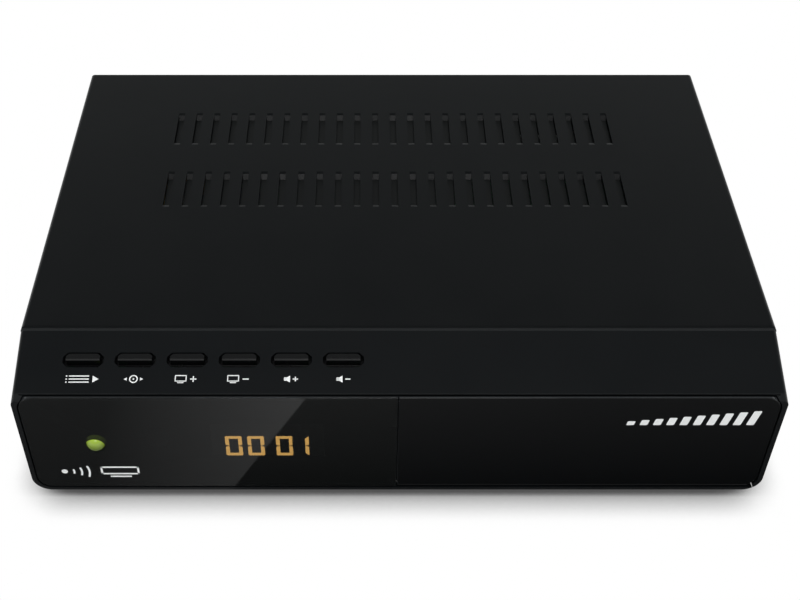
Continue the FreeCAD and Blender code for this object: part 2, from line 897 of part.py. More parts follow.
def make_tact_switches():
    bodies = []
    half = switch_body / 2
    top = key_board_n + switch_height
    well_depth = plunger_seat + key_travel + moving_gap
    for x in key_places():
        body = box(x - half, x + half, -key_centre_s - half, -key_centre_s + half, key_board_n, top)
        well = cylinder(
            plunger_radius + moving_gap, V(x, -key_centre_s, top - well_depth), Z_AXIS, well_depth + 1)
        bodies.append(on_slope(body.cut(well)))
    save("tact_switches", *bodies)


def make_key_board():
    ends = key_board_ends()
    board = box(
        ends[0] - 4, ends[1] + 4,
        -key_centre_s - key_board_width / 2, -key_centre_s + key_board_width / 2,
        key_board_n - key_board_thickness, key_board_n)
    holes = [
        cylinder(screw_radius + pin_gap, V(x, -key_centre_s, key_board_n - 3), Z_AXIS, 5)
        for x in ends
    ]
    save("key_board", on_slope(board.cut(holes)))


# Display

def display_board_screws():
    """The x and z of the display board's screws."""
    z = case_z + display_board_foot + display_screw_rise
    return [(display_board_left + board_screw_inset, z), (display_board_right - board_screw_inset, z)]


def make_display_board():
    board = box(
        display_board_left, display_board_right, display_board_y, display_board_y + board_thickness,
        case_z + display_board_foot, display_z + display_board_rise)
    holes = [
        cylinder(screw_radius + pin_gap, V(x, display_board_y - 1, z), Y_AXIS, board_thickness + 2)
        for x, z in display_board_screws()
    ]
    save("display_board", board.cut(holes))
    module = box(
        display_left, display_right, panel_back + 0.3, display_board_y,
        display_z - display_height / 2, display_z + display_height / 2)
    save("display_module", module)


def make_status_led():
    """A round lamp: a domed lens through the window on a collar and two leads."""
    barrel_start = panel_y - lamp_proud + lamp_radius
    barrel_end = display_board_y - 1.0
    dome = Part.makeSphere(lamp_radius, V(lamp_x, barrel_start, lamp_z))
    body = cylinder(lamp_radius, V(lamp_x, barrel_start, lamp_z), Y_AXIS, barrel_end - barrel_start)
    collar = cylinder(lamp_radius + 0.25, V(lamp_x, barrel_end - 1.2, lamp_z), Y_AXIS, 1.2)
    lead = 0.5
    lead_offset = 1.27
    leads = [
        centred_box(lamp_x + side * lead_offset, lead, barrel_end - 0.1, display_board_y, lamp_z, lead)
        for side in (-1, 1)
    ]
    save("status_led", fuse([dome, body, collar] + leads))


def make_ir_receiver():
    """The remote-control eye: a block with a round lens towards the window."""
    width = 6.8
    depth = 4.2
    front = display_board_y - depth
    block = centred_box(eye_x, width, front, display_board_y, display_z, 8.0)
    lens = Part.makeSphere(eye_radius - 0.4, V(eye_x, front, display_z))
    save("ir_receiver", block.fuse(lens).removeSplitter())


# Main board and what stands on it

def make_main_board():
    outline = [
        (main_board_left, main_board_front), (main_board_tongue_left, main_board_front),
        (main_board_tongue_left, tongue_front), (main_board_right, tongue_front),
        (main_board_right, main_board_rear), (main_board_left, main_board_rear),
    ]
    board = plan_prism(outline, board_z, board_top)
    holes = [
        cylinder(screw_radius + pin_gap, V(x, y, board_z - 1), Z_AXIS, 4)
        for x, y in main_board_screws()
    ]
    save("main_board", board.cut(holes))


def hexagon(x, z, across):
    """The corners of a nut about a centre on the rear panel."""
    corner = across / math.sqrt(3)
    turns = [math.radians(60 * k) for k in range(6)]
    return [(x + corner * math.cos(turn), z + corner * math.sin(turn)) for turn in turns]


def make_aerial_sockets():
    """The screened tuner can with two threaded aerial sockets, their nuts outside the panel."""
    can_rear = rear_inner - lnb_shoulder
    can_front = can_rear - tuner_depth
    left = lnb_out_x - tuner_side
    right = lnb_in_x + tuner_side - 1
    can = box(left, right, can_front, can_rear, board_top, board_top + tuner_height)
    inside = box(
        left + tuner_wall, right - tuner_wall, can_front + tuner_wall, can_rear - tuner_wall,
        board_top - 1, board_top + tuner_height - tuner_wall)
    nuts = []
    holes = []
    stem_start = rear_outer + lnb_nut_height
    stem_end = rear_y + connector_reach
    for name, x in (("lnb_in_connector", lnb_in_x), ("lnb_out_connector", lnb_out_x)):
        shoulder = cylinder(lnb_shoulder_radius, V(x, can_rear, lnb_z), Y_AXIS, lnb_shoulder)
        base = cylinder(lnb_base_radius, V(x, rear_inner, lnb_z), Y_AXIS, stem_start - rear_inner)
        stem = cylinder(lnb_radius, V(x, stem_start, lnb_z), Y_AXIS, stem_end - stem_start)
        stem = stem.makeChamfer(0.4, [e for e in stem.Edges if near(e.CenterOfMass.y, stem_end)])
        face = cylinder(3.5, V(x, stem_end - 0.8, lnb_z), Y_AXIS, 2)
        contact = cylinder(0.6, V(x, stem_end - 8, lnb_z), Y_AXIS, 10)
        tail = cylinder(1.5, V(x, can_rear - 1.4, lnb_z), Y_AXIS, 2)
        save(name, fuse([shoulder, base, stem, tail]).cut([face, contact]))
        holes.append(cylinder(2.2, V(x, can_rear - 2.4, lnb_z), Y_AXIS, 4))
        nut = front_prism(hexagon(x, lnb_z, lnb_nut_across), rear_outer, stem_start)
        bore = cylinder(lnb_base_radius + pin_gap, V(x, rear_outer - 1, lnb_z), Y_AXIS, lnb_nut_height + 2)
        nuts.append(nut.cut(bore))
    save("tuner_module", can.cut([inside] + holes))
    save("connector_nuts", *nuts)


def make_network_socket():
    front = rear_outer + 0.6
    body = centred_box(network_x, network_width, front - network_depth, front, network_z, network_height)
    cavity = centred_box(network_x, 11.8, front - 11.5, front + 1, network_z - 0.6, 8.0)
    latch = centred_box(network_x, 6.2, front - 11.5, front + 1, network_z + 3.7, 2.6)
    save("network_socket", body.cut([cavity, latch]))


def make_digital_video_socket():
    """A slim screened socket with a tongue, its lower corners drawn in."""
    front = rear_outer + 0.4
    half = video_width / 2
    low = video_z - video_height / 2
    high = video_z + video_height / 2

    def outline(inset):
        return [
            (video_x - half + inset, high - inset), (video_x + half - inset, high - inset),
            (video_x + half - inset, low + 2.4), (video_x + half - 2.2, low + 1.0 + inset * 0.6),
            (video_x + half - 2.2, low + inset), (video_x - half + 2.2, low + inset),
            (video_x - half + 2.2, low + 1.0 + inset * 0.6), (video_x - half + inset, low + 2.4),
        ]

    shell = front_prism(outline(0), front - video_depth, front)
    cavity = front_prism(outline(0.5), front - video_depth + 2, front + 1)
    tongue = centred_box(video_x, 11.0, front - video_depth + 1, front - 1.2, video_z + 0.4, 1.4)
    save("digital_video_socket", shell.cut(cavity).fuse(tongue).removeSplitter())


def make_scart_socket():
    """The wide multi-pin socket: a slanted shell round a block with two rows of contact slots."""
    front = rear_outer + 1.2
    half = scart_width / 2
    low = scart_z - scart_height / 2
    high = scart_z + scart_height / 2

    def outline(inset):
        return [
            (scart_x - half + inset, low + inset), (scart_x + half - inset - 5, low + inset),
            (scart_x + half - inset, low + 5 + inset), (scart_x + half - inset, high - inset),
            (scart_x - half + inset, high - inset),
        ]

    shell = front_prism(outline(0), front - scart_depth, front)
    cavity = front_prism(outline(1.4), front - 12.0, front + 1)
    block = front_prism(outline(3.4), front - 13.0, front - 0.8)
    slots = [
        centred_box(scart_x - 19.0 + 3.81 * index, 1.3, front - 9, front, scart_z + offset, 2.2)
        for offset, count in ((2.0, 10), (-2.0, 10))
        for index in range(count)
    ]
    save("scart_socket", shell.cut(cavity).fuse(block).cut(slots))


def phono_places():
    """The centre x of each phono socket."""
    first = phono_x - phono_pitch * (phono_count - 1) / 2
    return [first + index * phono_pitch for index in range(phono_count)]


def make_phono_sockets():
    width = phono_pitch * phono_count
    body = centred_box(
        phono_x, width, rear_inner - 0.2 - phono_body_depth, rear_inner - 0.2, phono_z, phono_body_height)
    collar_start = rear_inner - 1.0
    collar_end = rear_outer + phono_base_height
    pieces = [body]
    bores = []
    for x in phono_places():
        pieces.append(cylinder(
            phono_base_radius, V(x, collar_start, phono_z), Y_AXIS, collar_end - collar_start))
        pieces.append(cylinder(
            phono_radius, V(x, collar_end, phono_z), Y_AXIS, rear_y + phono_reach - collar_end))
        bores.append(cylinder(phono_bore, V(x, collar_start, phono_z), Y_AXIS, 20.0))
    save("phono_sockets", fuse(pieces).cut(bores))


def make_bay_sockets():
    """The card reader and the memory stick socket at the front of the main board."""
    half = card_slot_width / 2 + 1.2
    front = bay_back + 0.3
    reader = box(
        card_centre_x - half, card_centre_x + half, front, front + 46.0, board_top, card_z + 3.4)
    slot = centred_box(card_centre_x, 54.6, front - 1, front + 42.0, card_z, 1.4)
    save("card_reader", reader.cut(slot))
    mouth = bay_back - bay_wall - stick_proud
    back = mouth + 15.0
    shell = centred_box(stick_centre_x, stick_width, mouth, back, stick_z, stick_height)
    cavity = centred_box(
        stick_centre_x, stick_width - 1.0, mouth - 1, back - 4.0, stick_z, stick_height - 1.0)
    tongue = centred_box(
        stick_centre_x, stick_width - 2.4, mouth + 1.0, back - 3.0, stick_z + 1.0, 1.7)
    stand = box(
        stick_centre_x - stick_width / 2, stick_centre_x + stick_width / 2,
        tongue_front + 0.2, back, board_top, stick_z - stick_height / 2)
    save("usb_socket", fuse([shell.cut(cavity), tongue, stand]))


def make_chips():
    """The processor under its heat sink, the memory chips and the capacitors."""
    chip_x = main_board_right - processor_inset
    chip_y = main_board_front + processor_y
    half = processor_size / 2
    sink_low = board_top + processor_height
    save("processor_chip", box(
        chip_x - half, chip_x + half, chip_y - half, chip_y + half, board_top, sink_low))
    half = heat_sink_size / 2
    plate = box(chip_x - half, chip_x + half, chip_y - half, chip_y + half, sink_low, sink_low + 2.0)
    fins = []
    for index in range(heat_sink_count):
        x = chip_x - half + heat_sink_pitch * index
        fins.append(box(
            x, x + heat_sink_fin, chip_y - half, chip_y + half, sink_low + 1.5, sink_low + heat_sink_height))
    save("heat_sink", fuse([plate] + fins))
    width, length, height = memory_size
    memories = []
    for offset in memory_offsets:
        x = chip_x + offset
        memories.append(box(x, x + width, chip_y - 7, chip_y - 7 + length, board_top, board_top + height))
    save("memory_chips", *memories)
    cans = []
    for x, y, radius, height in capacitors:
        can = cylinder(radius, V(main_board_left + x, main_board_front + y, board_top), Z_AXIS, height)
        cans.append(round_edges(can, 0.4, lambda p, t: p.z > board_top + 1))
    save("main_capacitors", *cans)


def header_places():
    """The connector blocks: both ends of the flat cable and both ends of the wires."""
    middle = main_board_left + ribbon_inset + ribbon_width / 2 + ribbon_header_margin
    width = ribbon_width + 2 * ribbon_header_margin
    ribbon_y = main_board_front + ribbon_run_in
    board_back = display_board_y + board_thickness
    low_block = centred_box(
        middle, width, ribbon_y - header_depth / 2, ribbon_y + header_depth / 2,
        board_top + header_height / 2, header_height)
    high_block = centred_box(
        middle, width, board_back, board_back + header_depth, display_z + ribbon_level, 5.0)
    blocks = [low_block, high_block]
    for x in (main_board_left + 3, power_board_right - 3 - power_header_width):
        blocks.append(box(
            x, x + power_header_width, harness_y, harness_y + power_header_length,
            board_top, board_top + power_header_height))
    return blocks


def make_headers():
    save("board_headers", *header_places())


def make_ribbon_cable():
    """A flat cable that leaves the display board level and turns down to the main board."""
    half = ribbon_thickness / 2
    left = main_board_left + ribbon_inset + ribbon_header_margin
    right = left + ribbon_width
    start = display_board_y + board_thickness + header_depth
    level = display_z + ribbon_level
    drop_y = main_board_front + ribbon_run_in
    foot = board_top + header_height
    turn_y = drop_y - ribbon_bend
    turn_z = level - ribbon_bend
    run = box(left, right, start, turn_y, level - half, level + half)
    fall = box(left, right, drop_y - half, drop_y + half, foot, turn_z)
    centre = V(left, turn_y, turn_z)
    outside = cylinder(ribbon_bend + half, centre, X_AXIS, ribbon_width)
    inside = cylinder(ribbon_bend - half, centre, X_AXIS, ribbon_width)
    corner = box(left, right, turn_y, drop_y + half, turn_z, level + half)
    save("ribbon_cable", fuse([run, outside.cut(inside).common(corner), fall]))


def arc_between(start, centre, end, radius):
    """A quarter arc from one point to another about a centre."""
    outward = (start - centre) + (end - centre)
    middle = centre + outward * (radius / outward.Length)
    return Part.Arc(start, middle, end).toShape()


def make_power_harness():
    """Wires that arch from the power board's header to the main board's."""
    foot = board_top + power_header_height
    crest = foot + harness_rise
    left = power_board_right - 3 - power_header_width / 2
    right = main_board_left + 3 + power_header_width / 2
    bend = min(wire_bend, (right - left) / 2 - 0.2)
    turn = crest - bend
    first_y = harness_y + (power_header_length - wire_pitch * (wire_count - 1)) / 2
    wires = []
    for index in range(wire_count):
        y = first_y + index * wire_pitch
        path = Part.Wire([
            Part.makeLine(V(left, y, foot), V(left, y, turn)),
            arc_between(V(left, y, turn), V(left + bend, y, turn), V(left + bend, y, crest), bend),
            Part.makeLine(V(left + bend, y, crest), V(right - bend, y, crest)),
            arc_between(V(right - bend, y, crest), V(right - bend, y, turn), V(right, y, turn), bend),
            Part.makeLine(V(right, y, turn), V(right, y, foot)),
        ])
        circle = Part.Wire([Part.makeCircle(wire_radius, V(left, y, foot), Z_AXIS)])
        wires.append(path.makePipeShell([circle], True, False))
    save("power_harness", *wires)


# Power supply

def make_power_board():
    """The mains board and the insulating sheet on the floor under it."""
    rear = main_board_rear
    front = rear - power_board_length
    board = box(power_board_left, power_board_right, front, rear, board_z, board_top)
    holes = [
        cylinder(screw_radius + pin_gap, V(x, y, board_z - 1), Z_AXIS, board_thickness + 2)
        for x, y in power_board_screws()
    ]
    save("power_board", board.cut(holes))
    film = box(power_board_left, power_board_right, front, rear, floor_top, floor_top + 0.4)
    posts = [
        cylinder(standoff_radius + 0.5, V(x, y, floor_top - 1), Z_AXIS, 4) for x, y in power_board_screws()
    ]
    save("insulation_sheet", film.cut(posts))


def make_power_parts():
    """Transformer, capacitor, heat sink, choke and fuse on the power board."""
    middle = (power_board_left + power_board_right) / 2
    front = main_board_rear - power_board_length
    core_x = middle - 5
    core_y = front + 43
    ferrite = box(core_x - 9, core_x + 9, core_y - 13, core_y + 13, board_top + 3, board_top + 19)
    window = box(core_x - 10, core_x + 10, core_y - 9, core_y + 9, board_top + 6.5, board_top + 15.5)
    coil = box(core_x - 11, core_x + 11, core_y - 8.6, core_y + 8.6, board_top, board_top + 22)
    save("transformer", fuse([ferrite.cut(window), coil]))
    can = cylinder(8.0, V(middle + 5.5, front + 16.0, board_top), Z_AXIS, 22.0)
    save("bulk_capacitor", round_edges(can, 0.8, lambda p, t: p.z > board_top + 10))
    plate = box(middle - 14, middle - 12, front + 8, front + 27, board_top, board_top + 22)
    ribs = []
    for index in range(6):
        y = front + 8 + 3.5 * index
        ribs.append(box(middle - 12.2, middle - 6, y, y + 1.2, board_top + 4, board_top + 22))
    save("power_heat_sink", fuse([plate] + ribs))
    core = box(middle - 15, middle - 1, front + 60, front + 75, board_top, board_top + 5)
    bobbin = cylinder(6.5, V(middle - 8, front + 67.5, board_top + 4), Z_AXIS, 11.0)
    save("filter_choke", core.fuse(bobbin).removeSplitter())
    tube = cylinder(2.6, V(middle + 9, front + 58.0, board_top + 4.0), Y_AXIS, 20.0)
    clips = []
    for y in (front + 58.5, front + 74.0):
        clips.append(box(middle + 6.6, middle + 11.4, y, y + 3.5, board_top, board_top + 3.5))
    save("fuse", fuse([tube] + clips))


# Mains inlet and switch

def lobes(radius, y_low, y_high):
    """Two round lobes side by side with the bridge between them."""
    pieces = [
        cylinder(radius, V(inlet_x + side * inlet_lobe_offset, y_low, mains_z), Y_AXIS, y_high - y_low)
        for side in (-1, 1)
    ]
    waist = radius * 0.9
    pieces.append(box(
        inlet_x - inlet_lobe_offset, inlet_x + inlet_lobe_offset, y_low, y_high,
        mains_z - waist, mains_z + waist))
    return fuse(pieces)


def make_mains_inlet():
    front = rear_outer + rim_thickness
    flange = centred_box(
        inlet_x, inlet_flange_width, rear_outer, front, mains_z, inlet_flange_height)
    flange = round_edges(flange, 2.0, lambda p, t: abs(t.y) > 0.9)
    body = centred_box(
        inlet_x, inlet_body_width, front - inlet_body_depth, front, mains_z, inlet_body_height)
    cavity = lobes(inlet_lobe_radius, front - inlet_cavity_depth, front + 1)
    pins = []
    wells = []
    for side in (-1, 1):
        x = inlet_x + side * inlet_pin_offset
        start = front - inlet_body_depth - 3.0
        pin = cylinder(inlet_pin_radius, V(x, start, mains_z), Y_AXIS, front - 2.0 - start)
        pins.append(round_edges(pin, 0.6, lambda p, t: near(p.y, front - 2.0)))
        wells.append(cylinder(inlet_pin_radius + 0.02, V(x, start, mains_z), Y_AXIS, 8))
    save("mains_inlet", flange.fuse(body).cut([cavity] + wells).removeSplitter())
    save("mains_inlet_pins", *pins)


def rocker_outline():
    """The side outline of the rocker, centred between its two positions."""
    h = rocker_half_height
    return [(-3.6, -6.0), (2.6, -h), (1.5, 0.0), (2.6, h), (-3.6, 6.0)]


def make_mains_switch():
    """The switch housing with its terminals, and the rocker on its pins, pressed to one side."""
    front = rear_outer + rim_thickness
    body_rear = front - rocker_body_depth
    flange = centred_box(
        rocker_x, rocker_flange_width, rear_outer, front, mains_z, rocker_flange_height)
    flange = round_edges(flange, 1.0, lambda p, t: abs(t.y) > 0.9)
    body = centred_box(rocker_x, rocker_body_width, body_rear, front, mains_z, rocker_body_height)
    mouth = centred_box(
        rocker_x, rocker_mouth_width, body_rear + 3, front + 1, mains_z, rocker_mouth_height)
    bearing_half = rocker_mouth_width / 2 + 0.7
    bearings = cylinder(
        rocker_pin_radius + pin_gap, V(rocker_x - bearing_half, rocker_axis_y, mains_z),
        X_AXIS, 2 * bearing_half)
    terminals = [
        centred_box(rocker_x, 4.8, body_rear - 6, body_rear + 0.1, mains_z + rise, 0.8)
        for rise in (-5.0, 5.0)
    ]
    housing = fuse([flange, body] + terminals).cut([mouth, bearings])
    save("mains_switch_housing", housing)
    half = rocker_width / 2
    outline = [(rocker_axis_y + u, mains_z + w) for u, w in rocker_outline()]
    cap = side_prism(outline, rocker_x - half, rocker_x + half)
    cap = round_edges(
        cap, 0.5,
        lambda p, t: p.y > rocker_axis_y + 1 and abs(t.x) > 0.9 and abs(p.z - mains_z) > 2)
    pin_half = bearing_half - 0.1
    pins = cylinder(
        rocker_pin_radius, V(rocker_x - pin_half, rocker_axis_y, mains_z), X_AXIS, 2 * pin_half)
    rocker = fuse([cap, pins])
    rocker.rotate(V(rocker_x, rocker_axis_y, mains_z), X_AXIS, rocker_tilt)
    save("mains_switch_rocker", rocker)


# Screws

def screw(seat, inward):
    """A pan-head screw whose head sits on a seat point and whose shank runs inward."""
    head = cylinder(screw_head_radius, seat - inward * screw_head_height, inward, screw_head_height)
    top = seat - inward * screw_head_height
    head = round_edges(head, 0.7, lambda p, t: abs((p - top).dot(inward)) < 0.01)
    shank = cylinder(screw_radius, seat, inward, screw_length)
    return head.fuse(shank).removeSplitter()


def make_screws():
    """All screws: cover sides, fascia tabs, both floor boards, key board and display board."""
    screws = []
    for y, z in cover_screw_places():
        screws.append(screw(V(-half_width, y, z), X_AXIS))
        screws.append(screw(V(half_width, y, z), X_AXIS * -1))
    for x, y in fascia_screws():
        screws.append(screw(V(x, y, case_z), Z_AXIS))
    for x, y in standoff_places():
        screws.append(screw(V(x, y, board_top), Z_AXIS * -1))
    for x in key_board_ends():
        seat = V(x, -key_centre_s, key_board_n - key_board_thickness)
        screws.append(on_slope(screw(seat, Z_AXIS)))
    for x, z in display_board_screws():
        screws.append(screw(V(x, display_board_y + board_thickness, z), Y_AXIS * -1))
    save("screws", *screws)


os.makedirs("parts", exist_ok=True)
make_top_cover()
make_base_pan()
make_feet()
make_front_fascia()
make_display_window()
make_front_flap()
make_flap_bay()
make_keys()
make_tact_switches()
make_key_board()
make_display_board()
make_status_led()
make_ir_receiver()
make_main_board()
make_aerial_sockets()
make_network_socket()
make_digital_video_socket()
make_scart_socket()
make_phono_sockets()
make_bay_sockets()
make_chips()
make_headers()
make_ribbon_cable()
make_power_harness()
make_power_board()
make_power_parts()
make_mains_inlet()
make_mains_switch()
make_screws()

print("overall", case_width, overall_depth, lid_z)
print("bezel_y", bezel_y, "lid_y", lid_y, "rear_y", rear_y)
print("hinge", hinge_y, hinge_z, "rocker", rocker_axis_y, mains_z)
print("slope", slope_angle, "lnb_z", lnb_z, "nut face", rear_outer + lnb_nut_height)
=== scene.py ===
import json
import logging
import math
from collections.abc import Callable, Iterable
from dataclasses import dataclass
from enum import Enum

import bmesh
import bpy
from mathutils import Matrix, Vector


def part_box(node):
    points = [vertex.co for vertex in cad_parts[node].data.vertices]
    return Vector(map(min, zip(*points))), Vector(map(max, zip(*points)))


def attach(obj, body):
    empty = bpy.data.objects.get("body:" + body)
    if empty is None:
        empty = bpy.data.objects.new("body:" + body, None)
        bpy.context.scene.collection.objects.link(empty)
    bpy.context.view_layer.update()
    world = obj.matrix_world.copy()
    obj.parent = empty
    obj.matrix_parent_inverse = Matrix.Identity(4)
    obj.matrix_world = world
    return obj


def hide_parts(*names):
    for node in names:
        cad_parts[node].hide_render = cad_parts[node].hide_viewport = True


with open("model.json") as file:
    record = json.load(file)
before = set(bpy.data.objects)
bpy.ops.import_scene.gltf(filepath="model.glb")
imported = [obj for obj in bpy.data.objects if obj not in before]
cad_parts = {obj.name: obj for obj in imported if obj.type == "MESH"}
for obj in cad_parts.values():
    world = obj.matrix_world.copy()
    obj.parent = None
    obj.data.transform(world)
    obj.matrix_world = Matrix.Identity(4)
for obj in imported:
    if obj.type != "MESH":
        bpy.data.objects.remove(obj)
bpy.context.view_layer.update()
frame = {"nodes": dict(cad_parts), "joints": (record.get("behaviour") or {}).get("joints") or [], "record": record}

log = logging.getLogger("receiver")
MM = 0.001
QUARTER = math.pi / 2
Tree = bpy.types.NodeTree
Socket = bpy.types.NodeSocket
Node = bpy.types.Node
Piece = bpy.types.Object
Triple = tuple[float, float, float]


# Shader nodes

def ramp_node(tree: Tree, source: Socket, start: float, end: float, low: float = 0.0,
              high: float = 1.0, smooth: bool = False) -> Socket:
    """A value that goes from low to high while its source goes from start to end.

    Args:
        tree: The nodes that it joins.
        source: The value that it reads.
        start: Where the source gives low.
        end: Where the source gives high.
        low: The first value.
        high: The last value.
        smooth: Whether it eases in and out.

    Returns:
        The socket with the new value.
    """
    node = tree.nodes.new("ShaderNodeMapRange")
    node.interpolation_type = "SMOOTHSTEP" if smooth else "LINEAR"
    tree.links.new(source, node.inputs["Value"])
    for socket, number in zip(("From Min", "From Max", "To Min", "To Max"), (start, end, low, high)):
        node.inputs[socket].default_value = number
    return node.outputs["Result"]


def maths_node(tree: Tree, kind: str, *sources: Socket | float) -> Socket:
    """The result of one arithmetic step.

    Args:
        tree: The nodes that it joins.
        kind: The operation.
        sources: One or two values, each a socket or a number.

    Returns:
        The socket with the result.
    """
    node = tree.nodes.new("ShaderNodeMath")
    node.operation = kind
    for socket, source in zip(node.inputs, sources):
        if isinstance(source, Socket):
            tree.links.new(source, socket)
        else:
            socket.default_value = source
    return node.outputs["Value"]


def axes(tree: Tree, vector: Socket) -> bpy.types.bpy_prop_collection:
    """The X, Y and Z of a vector.

    Args:
        tree: The nodes that it joins.
        vector: The socket to split.

    Returns:
        The three sockets, by name.
    """
    split = tree.nodes.new("ShaderNodeSeparateXYZ")
    tree.links.new(vector, split.inputs["Vector"])
    return split.outputs


def blend(tree: Tree, shader: Node, mask: Socket, plain: Socket | Triple, second: Triple) -> None:
    """Colour a shader with one colour, and with a second where the mask says.

    Args:
        tree: The nodes that it joins.
        shader: The shader to colour.
        mask: The share of the second colour.
        plain: The first colour.
        second: The second colour.
    """
    mix = tree.nodes.new("ShaderNodeMix")
    mix.data_type = "RGBA"
    tree.links.new(mask, mix.inputs["Factor"])
    if isinstance(plain, Socket):
        tree.links.new(plain, mix.inputs["A"])
    else:
        mix.inputs["A"].default_value = (*plain, 1)
    mix.inputs["B"].default_value = (*second, 1)
    tree.links.new(mix.outputs["Result"], shader.inputs["Base Color"])


def tint(tree: Tree, shader: Node, mask: Socket, colour: Triple) -> None:
    """Mix a further colour into the colour that a shader has already."""
    blend(tree, shader, mask, shader.inputs["Base Color"].links[0].from_socket, colour)


# Finishes

class Grain(Enum):
    """The small pattern that a finish carries."""

    PAINT = "fine orange-peel paint"
    MOULDED = "spark-eroded moulding texture"
    POLISHED = "polished with faint ripples"
    BRUSHED = "rolled or drawn metal"
    BOARD = "printed circuit under solder resist"
    WOUND = "layers of tape or wire"
    CAST = "sintered or moulded compound"


@dataclass(frozen=True)
class Finish:
    """One surface finish: its colour, gloss, grain and unevenness, sizes in metres."""

    name: str
    colour: Triple
    roughness: float
    grain: Grain
    metallic: float = 0.0
    specular: float = 0.5
    coat: float = 0.0
    grain_size: float = 0.0005
    grain_depth: float = 0.00001
    tone_shift: float = 0.10
    tone_size: float = 0.02
    gloss_shift: float = 0.05

    def material(self) -> bpy.types.Material:
        """The node material of this finish, made once."""
        name = self.name + "_finish"
        made = bpy.data.materials.get(name)
        if made:
            return made
        made = bpy.data.materials.new(name)
        made.use_nodes = True
        tree = made.node_tree
        shader = tree.nodes["Principled BSDF"]
        shader.inputs["Metallic"].default_value = self.metallic
        shader.inputs["Specular IOR Level"].default_value = self.specular
        shader.inputs["Coat Weight"].default_value = self.coat
        shader.inputs["Coat Roughness"].default_value = 0.08
        place = tree.nodes.new("ShaderNodeTexCoord").outputs["Object"]
        self._tone(tree, place, shader)
        self._gloss(tree, place, shader)
        self._relief(tree, place, shader)
        self._extras(tree, place, shader)
        return made

    def _noise(self, tree: Tree, place: Socket, size: float,
               detail: float = 2.0, stretch: Triple = (1, 1, 1)) -> Socket:
        """A noise pattern.

        Args:
            tree: The material's nodes.
            place: The coordinates it reads.
            size: The size of one feature in metres.
            detail: How many finer layers it has.
            stretch: How much each axis is squeezed.

        Returns:
            The socket with values about a half.
        """
        mapping = tree.nodes.new("ShaderNodeMapping")
        mapping.inputs["Scale"].default_value = stretch
        tree.links.new(place, mapping.inputs["Vector"])
        noise = tree.nodes.new("ShaderNodeTexNoise")
        noise.inputs["Scale"].default_value = 1 / size
        noise.inputs["Detail"].default_value = detail
        tree.links.new(mapping.outputs["Vector"], noise.inputs["Vector"])
        return noise.outputs["Fac"]

    def _tone(self, tree: Tree, place: Socket, shader: Node) -> None:
        """Let the colour drift slowly over the surface."""
        darker = tuple(c * (1 - self.tone_shift) for c in self.colour)
        paler = tuple(c * (1 + self.tone_shift) for c in self.colour)
        blend(tree, shader, self._noise(tree, place, self.tone_size, 3.0), darker, paler)

    def _gloss(self, tree: Tree, place: Socket, shader: Node) -> None:
        """Let the gloss vary, as handling and moulding leave it."""
        spread = ramp_node(
            tree, self._noise(tree, place, self.tone_size / 3, 4.0), 0.3, 0.7,
            max(0.02, self.roughness - self.gloss_shift), min(1.0, self.roughness + self.gloss_shift))
        tree.links.new(spread, shader.inputs["Roughness"])

    def _relief(self, tree: Tree, place: Socket, shader: Node) -> None:
        """Raise the grain as bump."""
        stretch = (1, 1, 1)
        if self.grain is Grain.BRUSHED:
            stretch = (0.06, 1, 1)
        if self.grain is Grain.WOUND:
            stretch = (0.05, 0.05, 1)
        detail = 4.0 if self.grain in (Grain.MOULDED, Grain.CAST) else 1.0
        height = self._noise(tree, place, self.grain_size, detail, stretch)
        bump = tree.nodes.new("ShaderNodeBump")
        bump.inputs["Strength"].default_value = 1.0
        bump.inputs["Distance"].default_value = self.grain_depth
        tree.links.new(height, bump.inputs["Height"])
        tree.links.new(bump.outputs["Normal"], shader.inputs["Normal"])

    def _extras(self, tree: Tree, place: Socket, shader: Node) -> None:
        """Nothing more on a plain finish."""


@dataclass(frozen=True)
class PolishedPanel(Finish):
    """Glossy moulding with a painted highlight: its rounded edges and sides are coloured paler than its flat
    front.
    """

    # Colour of the painted highlight on rounded edges and sides.
    edge_highlight_colour: Triple = (0.024, 0.026, 0.028)
    alpha: float = 1.0
    front_share: tuple[float, float] = (0.5, 0.85)

    def _tone(self, tree: Tree, place: Socket, shader: Node) -> None:
        """Paint a highlight where the surface turns away from the front."""
        super()._tone(tree, place, shader)
        facing = maths_node(tree, "ABSOLUTE", axes(tree, place.node.outputs["Normal"])["Y"])
        # Painted highlight: paler base colour where the normal turns away from the front.
        tint(tree, shader, ramp_node(tree, facing, *self.front_share, 1.0, 0.0), self.edge_highlight_colour)

    def _extras(self, tree: Tree, place: Socket, shader: Node) -> None:
        """Let what lies behind show faintly through a smoked panel."""
        shader.inputs["Alpha"].default_value = self.alpha


